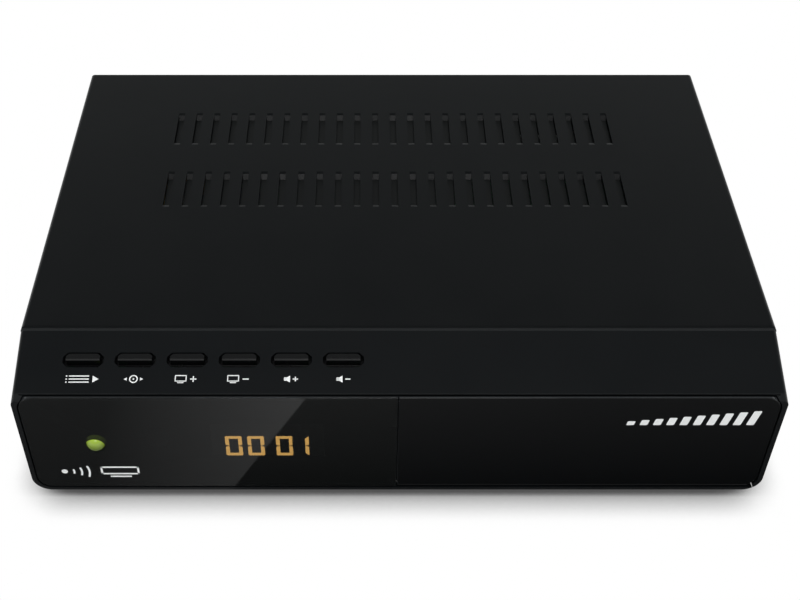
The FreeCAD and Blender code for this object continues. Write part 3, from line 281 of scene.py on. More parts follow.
@dataclass(frozen=True)
class FoldedCover(Finish):
    """Painted sheet: painted light makes its pressed louvres paler against the shade of their recesses, a painted
    highlight lies on the crest of its front bend, and it is duller along that bend.
    """

    # Painted light for the sunk louvre strips, lifting the shade of the recesses.
    sunk_painted_light: Triple = (0.0070, 0.0078, 0.0080)
    # Colour of the painted highlight on the crest of the front bend.
    crest_highlight_colour: Triple = (0.024, 0.026, 0.027)
    top_z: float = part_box("top_cover")[1].z
    front_y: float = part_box("top_cover")[0].y
    louvre_half_span: float = 0.0762
    louvre_fade: float = 0.001
    sunk_drop: tuple[float, float] = (0.0014, 0.0010)
    level_share: tuple[float, float] = (0.8, 0.95)
    forward_share: tuple[float, float] = (-0.85, -0.6)
    crest_reach: tuple[float, float] = (0.0004, 0.0005)
    crest_drop: tuple[float, float] = (0.0016, 0.0014)
    bend: float = 0.0013
    bend_share: float = 0.6
    bend_roughness: float = 0.8

    def _tone(self, tree: Tree, place: Socket, shader: Node) -> None:
        """Paint light into the sunk strips of the louvres and a highlight on the crest of the front bend."""
        super()._tone(tree, place, shader)
        spot, normal = axes(tree, place), axes(tree, place.node.outputs["Normal"])
        # Painted light: the level floors of the sunk louvre strips turn paler.
        sunk = ramp_node(tree, spot["Z"], *[self.top_z - drop for drop in self.sunk_drop], 1.0, 0.0)
        level = ramp_node(tree, normal["Z"], *self.level_share)
        inside = ramp_node(
            tree, maths_node(tree, "ABSOLUTE", spot["X"]),
            self.louvre_half_span, self.louvre_half_span + self.louvre_fade, 1.0, 0.0)
        mask = maths_node(tree, "MULTIPLY", maths_node(tree, "MULTIPLY", sunk, level), inside)
        tint(tree, shader, mask, self.sunk_painted_light)
        # Painted highlight on the forward-facing crest of the front bend.
        forward = ramp_node(tree, normal["Y"], *self.forward_share, 1.0, 0.0)
        front = ramp_node(tree, spot["Y"], *[self.front_y + reach for reach in self.crest_reach], 1.0, 0.0)
        high = ramp_node(tree, spot["Z"], *[self.top_z - drop for drop in self.crest_drop])
        mask = maths_node(tree, "MULTIPLY", maths_node(tree, "MULTIPLY", forward, front), high)
        tint(tree, shader, mask, self.crest_highlight_colour)

    def _gloss(self, tree: Tree, place: Socket, shader: Node) -> None:
        """Dull the front bend."""
        super()._gloss(tree, place, shader)
        plain = shader.inputs["Roughness"].links[0].from_socket
        bend = ramp_node(
            tree, axes(tree, place)["Y"], self.front_y + self.bend, self.front_y + self.bend * self.bend_share,
            0.0, self.bend_roughness)
        tree.links.new(maths_node(tree, "MAXIMUM", plain, bend), shader.inputs["Roughness"])


@dataclass(frozen=True)
class EdgedMoulding(Finish):
    """Matt moulding with a painted highlight along the rear edge and the foot of its slope."""

    # Colour of the painted highlight on the slope's rear edge and foot.
    edge_highlight_colour: Triple = (0.026, 0.028, 0.029)
    front_y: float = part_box("top_cover")[0].y
    rear_start: float = -0.00052
    foot_end: float = -0.0194
    foot_share: float = 0.3
    edge_fade: float = 0.0001
    upward_share: tuple[float, float] = (0.5, 0.8)
    low_z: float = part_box("top_cover")[1].z - 0.0085

    def _tone(self, tree: Tree, place: Socket, shader: Node) -> None:
        """Paint a highlight on the two edges of the slope."""
        super()._tone(tree, place, shader)
        spot, normal = axes(tree, place), axes(tree, place.node.outputs["Normal"])
        # Painted highlight on the upward-facing rear edge and foot of the slope.
        rear = ramp_node(
            tree, spot["Y"], self.front_y + self.rear_start, self.front_y + self.rear_start + self.edge_fade)
        foot = ramp_node(
            tree, spot["Y"], self.front_y + self.foot_end, self.front_y + self.foot_end - self.edge_fade,
            0.0, self.foot_share)
        upward = ramp_node(tree, normal["Z"], *self.upward_share)
        high = ramp_node(tree, spot["Z"], self.low_z, self.low_z + self.edge_fade)
        mask = maths_node(tree, "MULTIPLY", maths_node(tree, "MAXIMUM", rear, foot), upward)
        tint(tree, shader, maths_node(tree, "MULTIPLY", mask, high), self.edge_highlight_colour)


@dataclass(frozen=True)
class Lit(Finish):
    """A surface that glows, such as a lamp lens or a display segment."""

    glow: Triple = (1.0, 1.0, 1.0)
    strength: float = 1.0
    patch_size: float = 0.0008
    unevenness: float = 0.15

    def _extras(self, tree: Tree, place: Socket, shader: Node) -> None:
        """Add an uneven glow."""
        spread = ramp_node(
            tree, self._noise(tree, place, self.patch_size), 0.0, 1.0,
            self.strength * (1 - self.unevenness), self.strength * (1 + self.unevenness))
        tree.links.new(spread, shader.inputs["Emission Strength"])
        shader.inputs["Emission Color"].default_value = (*self.glow, 1)


@dataclass(frozen=True)
class DomeLens(Finish):
    """A round lamp's tinted lens that glows, with a painted highlight: bright at the top of its dome, dark towards
    its foot.
    """

    glow: Triple = (0.56, 0.8, 0.09)
    strength: float = 1.0
    fall: float = 2.1
    centre_z: float = 0.0
    radius: float = 0.0029

    def _extras(self, tree: Tree, place: Socket, shader: Node) -> None:
        """Fade the glow from the top of the lens to its lower edge, a painted highlight on the lamp's own glow."""
        # Painted highlight: the glow grows with height on the lens, brightest at the top.
        height = ramp_node(
            tree, axes(tree, place)["Z"], self.centre_z - self.radius, self.centre_z + self.radius)
        scale = maths_node(tree, "MULTIPLY", maths_node(tree, "POWER", height, self.fall), self.strength)
        tree.links.new(scale, shader.inputs["Emission Strength"])
        shader.inputs["Emission Color"].default_value = (*self.glow, 1)


@dataclass(frozen=True)
class CircuitBoard(Finish):
    """Board with copper tracks that show as a paler relief under the resist."""

    track_colour: Triple = (0.05, 0.24, 0.1)
    track_size: float = 0.0022
    track_edge: tuple[float, float] = (0.45, 0.5)

    def _tone(self, tree: Tree, place: Socket, shader: Node) -> None:
        """Draw tracks and pads in a second tone."""
        cells = tree.nodes.new("ShaderNodeTexVoronoi")
        cells.distance = "MANHATTAN"
        cells.inputs["Scale"].default_value = 1 / self.track_size
        tree.links.new(place, cells.inputs["Vector"])
        lines = ramp_node(tree, cells.outputs["Distance"], *self.track_edge)
        blend(tree, shader, lines, self.colour, self.track_colour)


COVER_PAINT = FoldedCover(
    "cover_paint", (0.0026, 0.0032, 0.0037), 0.4, Grain.PAINT, specular=0.2,
    grain_size=0.00045, grain_depth=0.000006, tone_shift=0.05, tone_size=0.05)
FASCIA_PLASTIC = EdgedMoulding(
    "fascia_plastic", (0.0048, 0.0056, 0.0063), 0.38, Grain.MOULDED, specular=0.18,
    grain_size=0.0005, grain_depth=0.000005, tone_shift=0.05, tone_size=0.04)
KEY_PLASTIC = Finish(
    "key_plastic", (0.0034, 0.0036, 0.0040), 0.24, Grain.MOULDED, specular=0.35,
    grain_size=0.0004, grain_depth=0.000003, tone_shift=0.05)
GLOSS_BLACK = PolishedPanel(
    "gloss_flap", (0.0010, 0.0013, 0.0016), 0.05, Grain.POLISHED, specular=0.28,
    grain_size=0.012, grain_depth=0.000002, tone_shift=0.04, tone_size=0.05, gloss_shift=0.01)
SMOKED_WINDOW = PolishedPanel(
    "smoked_window", (0.0028, 0.0034, 0.0034), 0.03, Grain.POLISHED, specular=0.35,
    grain_size=0.012, grain_depth=0.000002, tone_shift=0.04, tone_size=0.05, gloss_shift=0.01,
    alpha=0.8)
PRINT_WHITE = Finish(
    "print_white", (0.83, 0.84, 0.84), 0.5, Grain.PAINT, specular=0.3,
    grain_size=0.0003, grain_depth=0.000003, tone_shift=0.03, tone_size=0.004)
PRINT_GREY = Finish(
    "print_grey", (0.36, 0.37, 0.37), 0.5, Grain.PAINT, specular=0.3,
    grain_size=0.0003, grain_depth=0.000003, tone_shift=0.03, tone_size=0.004)
SEGMENT_AMBER = Lit(
    "segment_amber", (0.5, 0.22, 0.04), 0.4, Grain.MOULDED,
    glow=(1.0, 0.58, 0.16), strength=11.5)
SEGMENT_DARK = Finish("segment_dark", (0.012, 0.011, 0.01), 0.4, Grain.MOULDED, specular=0.2)
# Near-black board finish: painted shade, so the display board behind the smoked window reads dark instead of its
# green.
BOARD_PAINTED_SHADE = CircuitBoard(
    "board_painted_shade", (0.004, 0.004, 0.004), 0.4, Grain.BOARD, specular=0.2, track_colour=(0.006, 0.006, 0.006))
MATT_BLACK = Finish(
    "matt_black", (0.012, 0.012, 0.0125), 0.55, Grain.MOULDED, specular=0.3,
    grain_size=0.0006, grain_depth=0.00001)
GOLD_CONTACT = Finish(
    "gold_contact", (0.83, 0.6, 0.25), 0.25, Grain.BRUSHED, metallic=1.0, grain_size=0.0004, grain_depth=0.000002)
NICKEL_PLATE = Finish(
    "nickel_plate", (0.66, 0.64, 0.6), 0.2, Grain.BRUSHED, metallic=1.0,
    grain_size=0.0006, grain_depth=0.000004, tone_size=0.004)
SCREW_BLACK = Finish(
    "screw_black", (0.03, 0.03, 0.032), 0.35, Grain.BRUSHED, metallic=0.8, grain_size=0.0006)
INSULATOR_WHITE = Finish("insulator_white", (0.7, 0.69, 0.65), 0.4, Grain.MOULDED)
RING_YELLOW = Finish("ring_yellow", (0.75, 0.52, 0.02), 0.35, Grain.MOULDED)
RING_WHITE = Finish("ring_white", (0.72, 0.72, 0.7), 0.35, Grain.MOULDED)
RING_RED = Finish("ring_red", (0.5, 0.02, 0.015), 0.35, Grain.MOULDED)

SLOT_FINISHES = {
    "cover_paint": COVER_PAINT,
    "fascia_plastic": FASCIA_PLASTIC,
    "smoked_window": SMOKED_WINDOW,
    "gloss_flap": GLOSS_BLACK,
    "bay_plastic": Finish(
        "bay_plastic", (0.01, 0.01, 0.0105), 0.5, Grain.MOULDED, specular=0.3,
        grain_size=0.0007, grain_depth=0.000012),
    "key_plastic": KEY_PLASTIC,
    "switch_plastic": Finish("switch_plastic", (0.02, 0.02, 0.021), 0.45, Grain.MOULDED),
    "foot_rubber": Finish(
        "foot_rubber", (0.016, 0.016, 0.016), 0.8, Grain.CAST, specular=0.25,
        grain_size=0.0009, grain_depth=0.00003, tone_shift=0.2),
    "board_green": CircuitBoard("board_green", (0.012, 0.085, 0.03), 0.35, Grain.BOARD, coat=0.3),
    "board_tan": CircuitBoard(
        "board_tan", (0.42, 0.28, 0.12), 0.5, Grain.BOARD, track_colour=(0.36, 0.22, 0.09)),
    "display_black": Finish("display_black", (0.006, 0.006, 0.006), 0.3, Grain.MOULDED),
    "lamp_green": DomeLens(
        "lamp_green", (0.03, 0.045, 0.008), 0.16, Grain.POLISHED, strength=0.75,
        centre_z=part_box("status_led")[0].z / 2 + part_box("status_led")[1].z / 2),
    "tinned_steel": Finish(
        "tinned_steel", (0.6, 0.6, 0.58), 0.3, Grain.BRUSHED, metallic=1.0,
        grain_size=0.0008, grain_depth=0.000006, tone_shift=0.08, tone_size=0.006),
    "nickel_plate": NICKEL_PLATE,
    "socket_black": MATT_BLACK,
    "chip_epoxy": Finish(
        "chip_epoxy", (0.02, 0.02, 0.022), 0.6, Grain.CAST, grain_size=0.0003, grain_depth=0.00001),
    "heat_sink_aluminium": Finish(
        "heat_sink_aluminium", (0.62, 0.62, 0.64), 0.35, Grain.BRUSHED, metallic=1.0,
        grain_size=0.0012, grain_depth=0.00001),
    "capacitor_sleeve": Finish("capacitor_sleeve", (0.015, 0.025, 0.07), 0.3, Grain.POLISHED),
    "header_white": Finish("header_white", (0.68, 0.66, 0.58), 0.45, Grain.MOULDED),
    "wire_red": Finish("wire_red", (0.42, 0.02, 0.015), 0.4, Grain.POLISHED),
    "clear_film": Finish("clear_film", (0.55, 0.56, 0.52), 0.25, Grain.POLISHED),
    "tape_yellow": Finish("tape_yellow", (0.75, 0.5, 0.05), 0.35, Grain.WOUND, grain_size=0.0006),
    "ferrite_grey": Finish("ferrite_grey", (0.06, 0.06, 0.062), 0.6, Grain.CAST),
    "fuse_glass": Finish("fuse_glass", (0.7, 0.72, 0.7), 0.08, Grain.POLISHED),
    "rocker_plastic": Finish("rocker_plastic", (0.012, 0.012, 0.012), 0.25, Grain.POLISHED),
    "screw_black": SCREW_BLACK,
}


# Modelling

class Bench:
    """Modelling steps, each on one mesh at a time."""

    @staticmethod
    def only(piece: Piece) -> None:
        """Select one object and nothing else."""
        bpy.ops.object.select_all(action="DESELECT")
        piece.select_set(True)
        bpy.context.view_layer.objects.active = piece

    @staticmethod
    def take(name: str) -> Piece:
        """Name the new primitive and put its place and size into its mesh."""
        piece = bpy.context.object
        piece.name = name
        piece.data.name = name
        bpy.ops.object.transform_apply(location=True, rotation=True, scale=True)
        return piece

    @classmethod
    def block(cls, name: str, low: Vector, high: Vector) -> Piece:
        """A box between two corners."""
        bpy.ops.object.select_all(action="DESELECT")
        low, high = Vector(low), Vector(high)
        bpy.ops.mesh.primitive_cube_add(size=1, location=(low + high) / 2, scale=high - low)
        return cls.take(name)

    @classmethod
    def rod(cls, name: str, radius: float, start: Vector, end: Vector, sides: int = 32) -> Piece:
        """A cylinder between two points."""
        bpy.ops.object.select_all(action="DESELECT")
        start, end = Vector(start), Vector(end)
        turn = (end - start).to_track_quat("Z", "Y").to_euler()
        bpy.ops.mesh.primitive_cylinder_add(
            vertices=sides, radius=radius, depth=(end - start).length,
            location=(start + end) / 2, rotation=turn)
        return cls.take(name)

    @classmethod
    def turned(cls, name: str, profile: Iterable[tuple[float, float]], sides: int = 32) -> Piece:
        """A round piece about +Z, grown ring by ring from its first circle.

        Args:
            name: The piece's name.
            profile: Radius and height of each ring, from the foot up.
            sides: How many sides each ring has.

        Returns:
            The closed shape.
        """
        rings = list(profile)
        radius, height = rings[0]
        bpy.ops.object.select_all(action="DESELECT")
        bpy.ops.mesh.primitive_circle_add(
            vertices=sides, radius=radius, location=(0, 0, height), fill_type="NGON")
        piece = cls.take(name)
        cls.edit(piece, "FACE", lambda face: True)
        for wide, high in rings[1:]:
            bpy.ops.mesh.extrude_region_move(TRANSFORM_OT_translate={"value": (0, 0, high - height)})
            grow = wide / radius
            bpy.ops.transform.resize(value=(grow, grow, 1), center_override=(0, 0, high))
            radius, height = wide, high
        bpy.ops.mesh.select_all(action="SELECT")
        bpy.ops.mesh.normals_make_consistent(inside=False)
        cls.done()
        return piece

    @classmethod
    def nudge(cls, piece: Piece, kind: str, test: Callable[..., bool], shift: Vector) -> None:
        """Move the faces or edges that pass a test."""
        cls.edit(piece, kind, test)
        bpy.ops.transform.translate(value=shift)
        cls.done()

    @classmethod
    def cut(cls, piece: Piece, tool: Piece) -> None:
        """Take a tool's shape out of a piece and clear the tool away."""
        cls.only(piece)
        away = piece.modifiers.new("cut", "BOOLEAN")
        away.operation = "DIFFERENCE"
        away.solver = "EXACT"
        away.object = tool
        bpy.ops.object.modifier_apply(modifier=away.name)
        bpy.data.objects.remove(tool)

    @classmethod
    def edit(cls, piece: Piece, kind: str, test: Callable[..., bool]) -> None:
        """Open edit mode with the faces or edges that pass a test selected.

        Args:
            piece: The mesh object.
            kind: FACE or EDGE.
            test: Says for each face or edge whether it is taken.
        """
        cls.only(piece)
        bpy.ops.object.mode_set(mode="EDIT")
        bpy.ops.mesh.select_mode(type=kind)
        bpy.ops.mesh.select_all(action="DESELECT")
        mesh = bmesh.from_edit_mesh(piece.data)
        for item in mesh.faces if kind == "FACE" else mesh.edges:
            if test(item):
                item.select_set(True)
        bmesh.update_edit_mesh(piece.data)

    @staticmethod
    def done() -> None:
        """Leave edit mode."""
        bpy.ops.object.mode_set(mode="OBJECT")

    @classmethod
    def soften(cls, piece: Piece, width: float, segments: int = 2, angle: float = 30.0) -> None:
        """Round every sharp edge with a bevel that is applied."""
        cls.only(piece)
        bevel = piece.modifiers.new("soften", "BEVEL")
        bevel.width = width
        bevel.segments = segments
        bevel.limit_method = "ANGLE"
        bevel.angle_limit = math.radians(angle)
        bpy.ops.object.modifier_apply(modifier=bevel.name)

    @classmethod
    def smooth(cls, piece: Piece, angle: float = 35.0) -> None:
        """Shade smooth across edges flatter than an angle."""
        cls.only(piece)
        bpy.ops.object.shade_smooth_by_angle(angle=math.radians(angle))

    @staticmethod
    def place(piece: Piece, matrix: Matrix) -> Piece:
        """Move a finished mesh to its place, its object staying at the origin."""
        piece.data.transform(matrix)
        return piece

    @staticmethod
    def copy(piece: Piece, name: str, matrix: Matrix) -> Piece:
        """A copy with its own mesh, moved by a matrix."""
        twin = bpy.data.objects.new(name, piece.data.copy())
        twin.data.name = name
        bpy.context.scene.collection.objects.link(twin)
        twin.data.transform(matrix)
        return twin

    @classmethod
    def join(cls, name: str, pieces: Iterable[Piece]) -> Piece:
        """One object from several."""
        pieces = list(pieces)
        cls.only(pieces[0])
        for piece in pieces:
            piece.select_set(True)
        if len(pieces) > 1:
            bpy.ops.object.join()
        whole = bpy.context.object
        whole.name = name
        whole.data.name = name
        return whole

    @staticmethod
    def dress(piece: Piece, finish: Finish, body: str = "root", slot: str | None = None) -> None:
        """Give a piece its finish and the body that it rides on.

        Args:
            piece: The finished mesh object.
            finish: Its surface.
            body: The moving or fixed body that carries it.
            slot: Not used.
        """
        piece.data.materials.clear()
        piece.data.materials.append(finish.material())
        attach(piece, body)
        log.info("%s rides on %s", piece.name, body)


@dataclass(frozen=True)
class Layout:
    """Planes of the case, read from the frame."""

    lid_y: float
    lid_z: float
    panel_y: float
    panel_rear_y: float
    slope: float

    @classmethod
    def read(cls) -> "Layout":
        """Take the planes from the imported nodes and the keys' axis."""
        cover_low, cover_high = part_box("top_cover")
        window_low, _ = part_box("display_window")
        press = next(j for j in frame["joints"] if j["name"] == "key_1_press")
        slope = math.atan2(press["axis"][1], -press["axis"][2])
        _, pan_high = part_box("base_pan")
        return cls(cover_low.y, cover_high.z, window_low.y, pan_high.y, slope)

    def on_slope(self, x: float, down: float, height: float = 0.0) -> Matrix:
        """Axes at a place on the key field.

        Args:
            x: The place across the front.
            down: The distance down the slope from the cover's edge.
            height: The distance out of the slope.

        Returns:
            A matrix with +X across, +Y up the slope and +Z out of it.
        """
        turn = Matrix.Rotation(self.slope, 4, "X")
        corner = Matrix.Translation((x, self.lid_y, self.lid_z))
        return corner @ turn @ Matrix.Translation((0, -down, height))

    def on_front(self, x: float, drop: float, height: float = 0.0) -> Matrix:
        """Axes at a place on the front panels.

        Args:
            x: The place across the front.
            drop: The distance below the cover's top.
            height: The distance out of the panel.

        Returns:
            A matrix with +X across, +Y up and +Z out of the panel.
        """
        place = Matrix.Translation((x, self.panel_y - height, self.lid_z - drop))
        return place @ Matrix.Rotation(math.radians(90), 4, "X")

    def on_rear(self, x: float, z: float, height: float = 0.0) -> Matrix:
        """Axes at a place on the rear panel.

        Args:
            x: The place across the case, in its own axes.
            z: The height above the floor.
            height: The distance out of the panel.

        Returns:
            A matrix with +X across as seen from behind, +Y up and +Z out of the panel.
        """
        place = Matrix.Translation((x, self.panel_rear_y + height, z))
        return place @ Matrix.Rotation(math.pi, 4, "Z") @ Matrix.Rotation(QUARTER, 4, "X")


# Flat marks

@dataclass(frozen=True)
class Marks:
    """Plain geometric marks, cut as thin film about their own centre."""

    film: float = 0.04 * MM

    def bar(self, x: float, y: float, width: float, height: float, corner: float | None = None,
            lean: float = 0.0) -> Piece:
        """A bar with rounded corners.

        Args:
            x: Its centre across.
            y: Its centre up.
            width: Its size across.
            height: Its size up.
            corner: The radius of its corners.
            lean: How far its top leans over, as a share of its height.
        """
        half = Vector((width / 2, height / 2, self.film / 2))
        piece = Bench.block("bar", -half, half)
        Bench.edit(piece, "EDGE", lambda e: abs((e.verts[0].co - e.verts[1].co).z) > self.film / 2)
        bpy.ops.mesh.bevel(offset=min(width, height) * 0.22 if corner is None else corner, segments=3)
        Bench.done()
        leaning = Matrix.Identity(4)
        leaning[0][1] = lean
        return Bench.place(piece, Matrix.Translation((x, y, 0)) @ leaning)

    def disc(self, x: float, y: float, radius: float, sides: int = 24, turn: float = 0.0) -> Piece:
        """A disc with a soft rim, or a regular polygon with few sides, turned by degrees."""
        film = self.film / 2
        piece = Bench.turned("disc", ((radius * 0.96, -film), (radius, 0), (radius * 0.96, film)), sides)
        return Bench.place(piece, Matrix.Translation((x, y, 0)) @ Matrix.Rotation(math.radians(turn), 4, "Z"))

    def arrow(self, x: float, y: float, size: float, turn: float) -> Piece:
        """A triangle that points along a direction in degrees from +X."""
        return self.disc(x, y, size, 3, turn - 90)

    def ring(self, x: float, y: float, radius: float, stroke: float, start: float = 0.0,
             sweep: float = 360.0) -> Piece:
        """A ring or an arc of one, made by spinning a small face clockwise.

        Args:
            x: The centre across.
            y: The centre up.
            radius: The middle of the stroke.
            stroke: Its width.
            start: Where it starts, in degrees from +X.
            sweep: How far it goes round.
        """
        bpy.ops.object.select_all(action="DESELECT")
        bpy.ops.mesh.primitive_plane_add(size=1)
        piece = Bench.take("ring")
        grow = Matrix.Diagonal((stroke, self.film, 1, 1))
        piece.data.transform(Matrix.Rotation(math.radians(90), 4, "X") @ grow)
        piece.data.transform(Matrix.Rotation(math.radians(start), 4, "Z") @ Matrix.Translation((radius, 0, 0)))
        Bench.edit(piece, "FACE", lambda f: True)
        bpy.ops.mesh.spin(
            steps=max(4, round(sweep / 12)), angle=math.radians(sweep), center=(0, 0, 0), axis=(0, 0, 1))
        bpy.ops.mesh.select_all(action="SELECT")
        if sweep >= 360:
            bpy.ops.mesh.remove_doubles(threshold=1e-7)
        bpy.ops.mesh.normals_make_consistent(inside=False)
        Bench.done()
        return Bench.place(piece, Matrix.Translation((x, y, 0)))

    def frame(self, x: float, y: float, width: float, height: float, stroke: float) -> list[Piece]:
        """A rectangle's outline from four bars."""
        across, up = (width - stroke) / 2, (height - stroke) / 2
        return [
            self.bar(x, y + up, width, stroke), self.bar(x, y - up, width, stroke),
            self.bar(x - across, y, stroke, height), self.bar(x + across, y, stroke, height),
        ]

    def sign(self, x: float, y: float, size: float, stroke: float, plus: bool) -> list[Piece]:
        """A plus or a minus."""
        level = [self.bar(x, y, size, stroke)]
        return level + [self.bar(x, y, stroke, size)] if plus else level


# Sub-assemblies

@dataclass
class CaseFinishes:
    """The finish of every solid that the frame brings."""

    def dress(self) -> None:
        """Give each node the finish of its material slot, but the display board a near-black finish as painted
        shade.
        """
        slots = {s["node"]: s["material_slot"] for s in frame["record"]["subparts"]}
        for name, node in frame["nodes"].items():
            # Painted shade: the display board behind the window is made near-black.
            finish = BOARD_PAINTED_SHADE if name == "display_board" else SLOT_FINISHES[slots[name]]
            node.data.materials.clear()
            node.data.materials.append(finish.material())
            log.info("%s finished as %s", name, finish.name)


@dataclass
class KeyField:
    """The marks printed under the six keys."""

    layout: Layout
    mark_down: float = 16.1 * MM
    tall: float = 2.5 * MM
    stroke: float = 0.34 * MM
    surface_drop: float = 0.05 * MM

    def _list(self, marks: Marks) -> list[Piece]:
        """Three lines with a dot before each, and an arrow after them."""
        shapes = []
        for step in (-1, 0, 1):
            y = step * self.tall * 0.38
            shapes.append(marks.disc(-4.2 * MM, y, self.stroke * 0.7, 12))
            shapes.append(marks.bar(-0.6 * MM, y, 5.8 * MM, self.stroke))
        return shapes + [marks.arrow(3.9 * MM, 0, self.tall * 0.48, 0)]

    def _round(self, marks: Marks) -> list[Piece]:
        """A ring with a dot in it, between two arrows."""
        return [
            marks.ring(0, 0, self.tall * 0.43, self.stroke), marks.disc(0, 0, self.tall * 0.11, 16),
            marks.arrow(-2.2 * MM, 0, self.tall * 0.24, 180), marks.arrow(2.2 * MM, 0, self.tall * 0.24, 0),
        ]

    def _screen(self, marks: Marks, plus: bool) -> list[Piece]:
        """A screen on a foot, with a plus or a minus."""
        shapes = marks.frame(-1.5 * MM, self.tall * 0.09, 3.4 * MM, self.tall * 0.8, self.stroke * 0.85)
        shapes.append(marks.bar(-1.5 * MM, -self.tall * 0.45, 1.8 * MM, self.stroke * 0.8))
        return shapes + marks.sign(2.1 * MM, 0, self.tall * 0.72, self.stroke, plus)

    def _speaker(self, marks: Marks, plus: bool) -> list[Piece]:
        """A loudspeaker, with a plus or a minus."""
        return [
            marks.bar(-1.6 * MM, 0, 0.7 * MM, self.tall * 0.42, 0.06 * MM),
            marks.arrow(-0.85 * MM, 0, self.tall * 0.5, 180),
        ] + marks.sign(1.3 * MM, 0, self.tall * 0.6, self.stroke, plus)

    def build(self) -> None:
        """Print each mark under its key."""
        marks = Marks()
        drawn = [
            self._list(marks), self._round(marks), self._screen(marks, True), self._screen(marks, False),
            self._speaker(marks, True), self._speaker(marks, False),
        ]
        for number, shapes in enumerate(drawn, start=1):
            low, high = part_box(f"button_cap_{number}")
            mark = Bench.join(f"key_mark_{number}", shapes)
            Bench.place(mark, self.layout.on_slope((low.x + high.x) / 2, self.mark_down, -self.surface_drop))
            Bench.dress(mark, PRINT_WHITE)


@dataclass
class Display:
    """Four seven-segment digits on the module behind the window."""

    layout: Layout
    eye: Vector
    text: str = "0001"
    centre_drop: float = 27.2 * MM
    height: float = 8.75 * MM
    width: float = 4.95 * MM
    stroke: float = 1.12 * MM
    joint: float = 0.08 * MM
    notch: float = 0.36 * MM
    lefts: tuple[float, ...] = (-50.8 * MM, -44.29 * MM, -35.92 * MM, -31.18 * MM)
    relief: float = 0.06 * MM

    SEGMENTS = {"0": "abcdef", "1": "bc"}

    def _level(self) -> Piece:
        """The top bar of a digit, about the digit's centre, its ends cut at a slant."""
        half, top, film = self.width / 2 - self.joint, self.height / 2, self.relief / 2
        piece = Bench.block("segment", (-half, top - self.stroke, -film), (half, top, film))
        for side in (-1, 1):
            Bench.nudge(
                piece, "EDGE",
                lambda e: all(v.co.x * side > 0 and v.co.y < top - self.stroke / 2 for v in e.verts),
                Vector((-side * self.stroke * 0.9, 0, 0)))
        return piece

    def _upright(self) -> Piece:
        """The upper right bar of a digit, about the digit's centre."""
        right, top, film = self.width / 2, self.height / 2 - self.joint, self.relief / 2
        piece = Bench.block("segment", (right - self.stroke, self.joint, -film), (right, top, film))
        middle = right - self.stroke / 2
        Bench.nudge(
            piece, "EDGE", lambda e: all(v.co.x < middle and v.co.y > top / 2 for v in e.verts),
            Vector((0, -self.stroke * 0.9, 0)))
        Bench.nudge(
            piece, "EDGE", lambda e: all(v.co.x > middle and v.co.y < top / 2 for v in e.verts),
            Vector((0, self.notch, 0)))
        return piece

    def _middle(self) -> Piece:
        """The middle bar, pointed at both ends."""
        half, thick, film = self.width / 2 - self.stroke, self.stroke * 0.45, self.relief / 2
        piece = Bench.block("segment", (-half, -thick, -film), (half, thick, film))
        Bench.edit(piece, "EDGE", lambda e: abs((e.verts[0].co - e.verts[1].co).z) > film)
        bpy.ops.mesh.bevel(offset=thick * 0.8, segments=1)
        Bench.done()
        return piece

    def _segment(self, name: str) -> Piece:
        """One segment by its usual letter, with soft corners."""
        piece = {"a": self._level, "d": self._level, "g": self._middle}.get(name, self._upright)()
        if name != "g":
            Bench.edit(piece, "EDGE", lambda e: abs((e.verts[0].co - e.verts[1].co).z) > self.relief / 2)
            bpy.ops.mesh.bevel(offset=0.22 * MM, segments=2)
            Bench.done()
        turn = {"c": (1, -1), "d": (1, -1), "e": (-1, -1), "f": (-1, 1)}.get(name, (1, 1))
        Bench.place(piece, Matrix.Diagonal((turn[0], turn[1], 1, 1)))
        if turn[0] * turn[1] < 0:
            piece.data.flip_normals()
        return piece

    def _behind(self, left: float) -> Matrix:
        """Where a digit lies on the module so that it is seen at its place on the panel."""
        seen = self.layout.on_front(left + self.width / 2, self.centre_drop).translation
        face_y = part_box("display_module")[0].y
        ray = seen - self.eye
        spot = seen + ray * ((face_y - seen.y) / ray.y)
        spot.y -= self.relief / 2
        return Matrix.Translation(spot) @ Matrix.Rotation(math.radians(90), 4, "X")

    def build(self) -> None:
        """Light the digits' segments and leave the rest dark."""
        lit, dark = [], []
        for left, digit in zip(self.lefts, self.text):
            where = self._behind(left)
            for name in "abcdefg":
                segment = Bench.place(self._segment(name), where)
                (lit if name in self.SEGMENTS[digit] else dark).append(segment)
        Bench.dress(Bench.join("display_segments_lit", lit), SEGMENT_AMBER)
        Bench.dress(Bench.join("display_segments_dark", dark), SEGMENT_DARK)


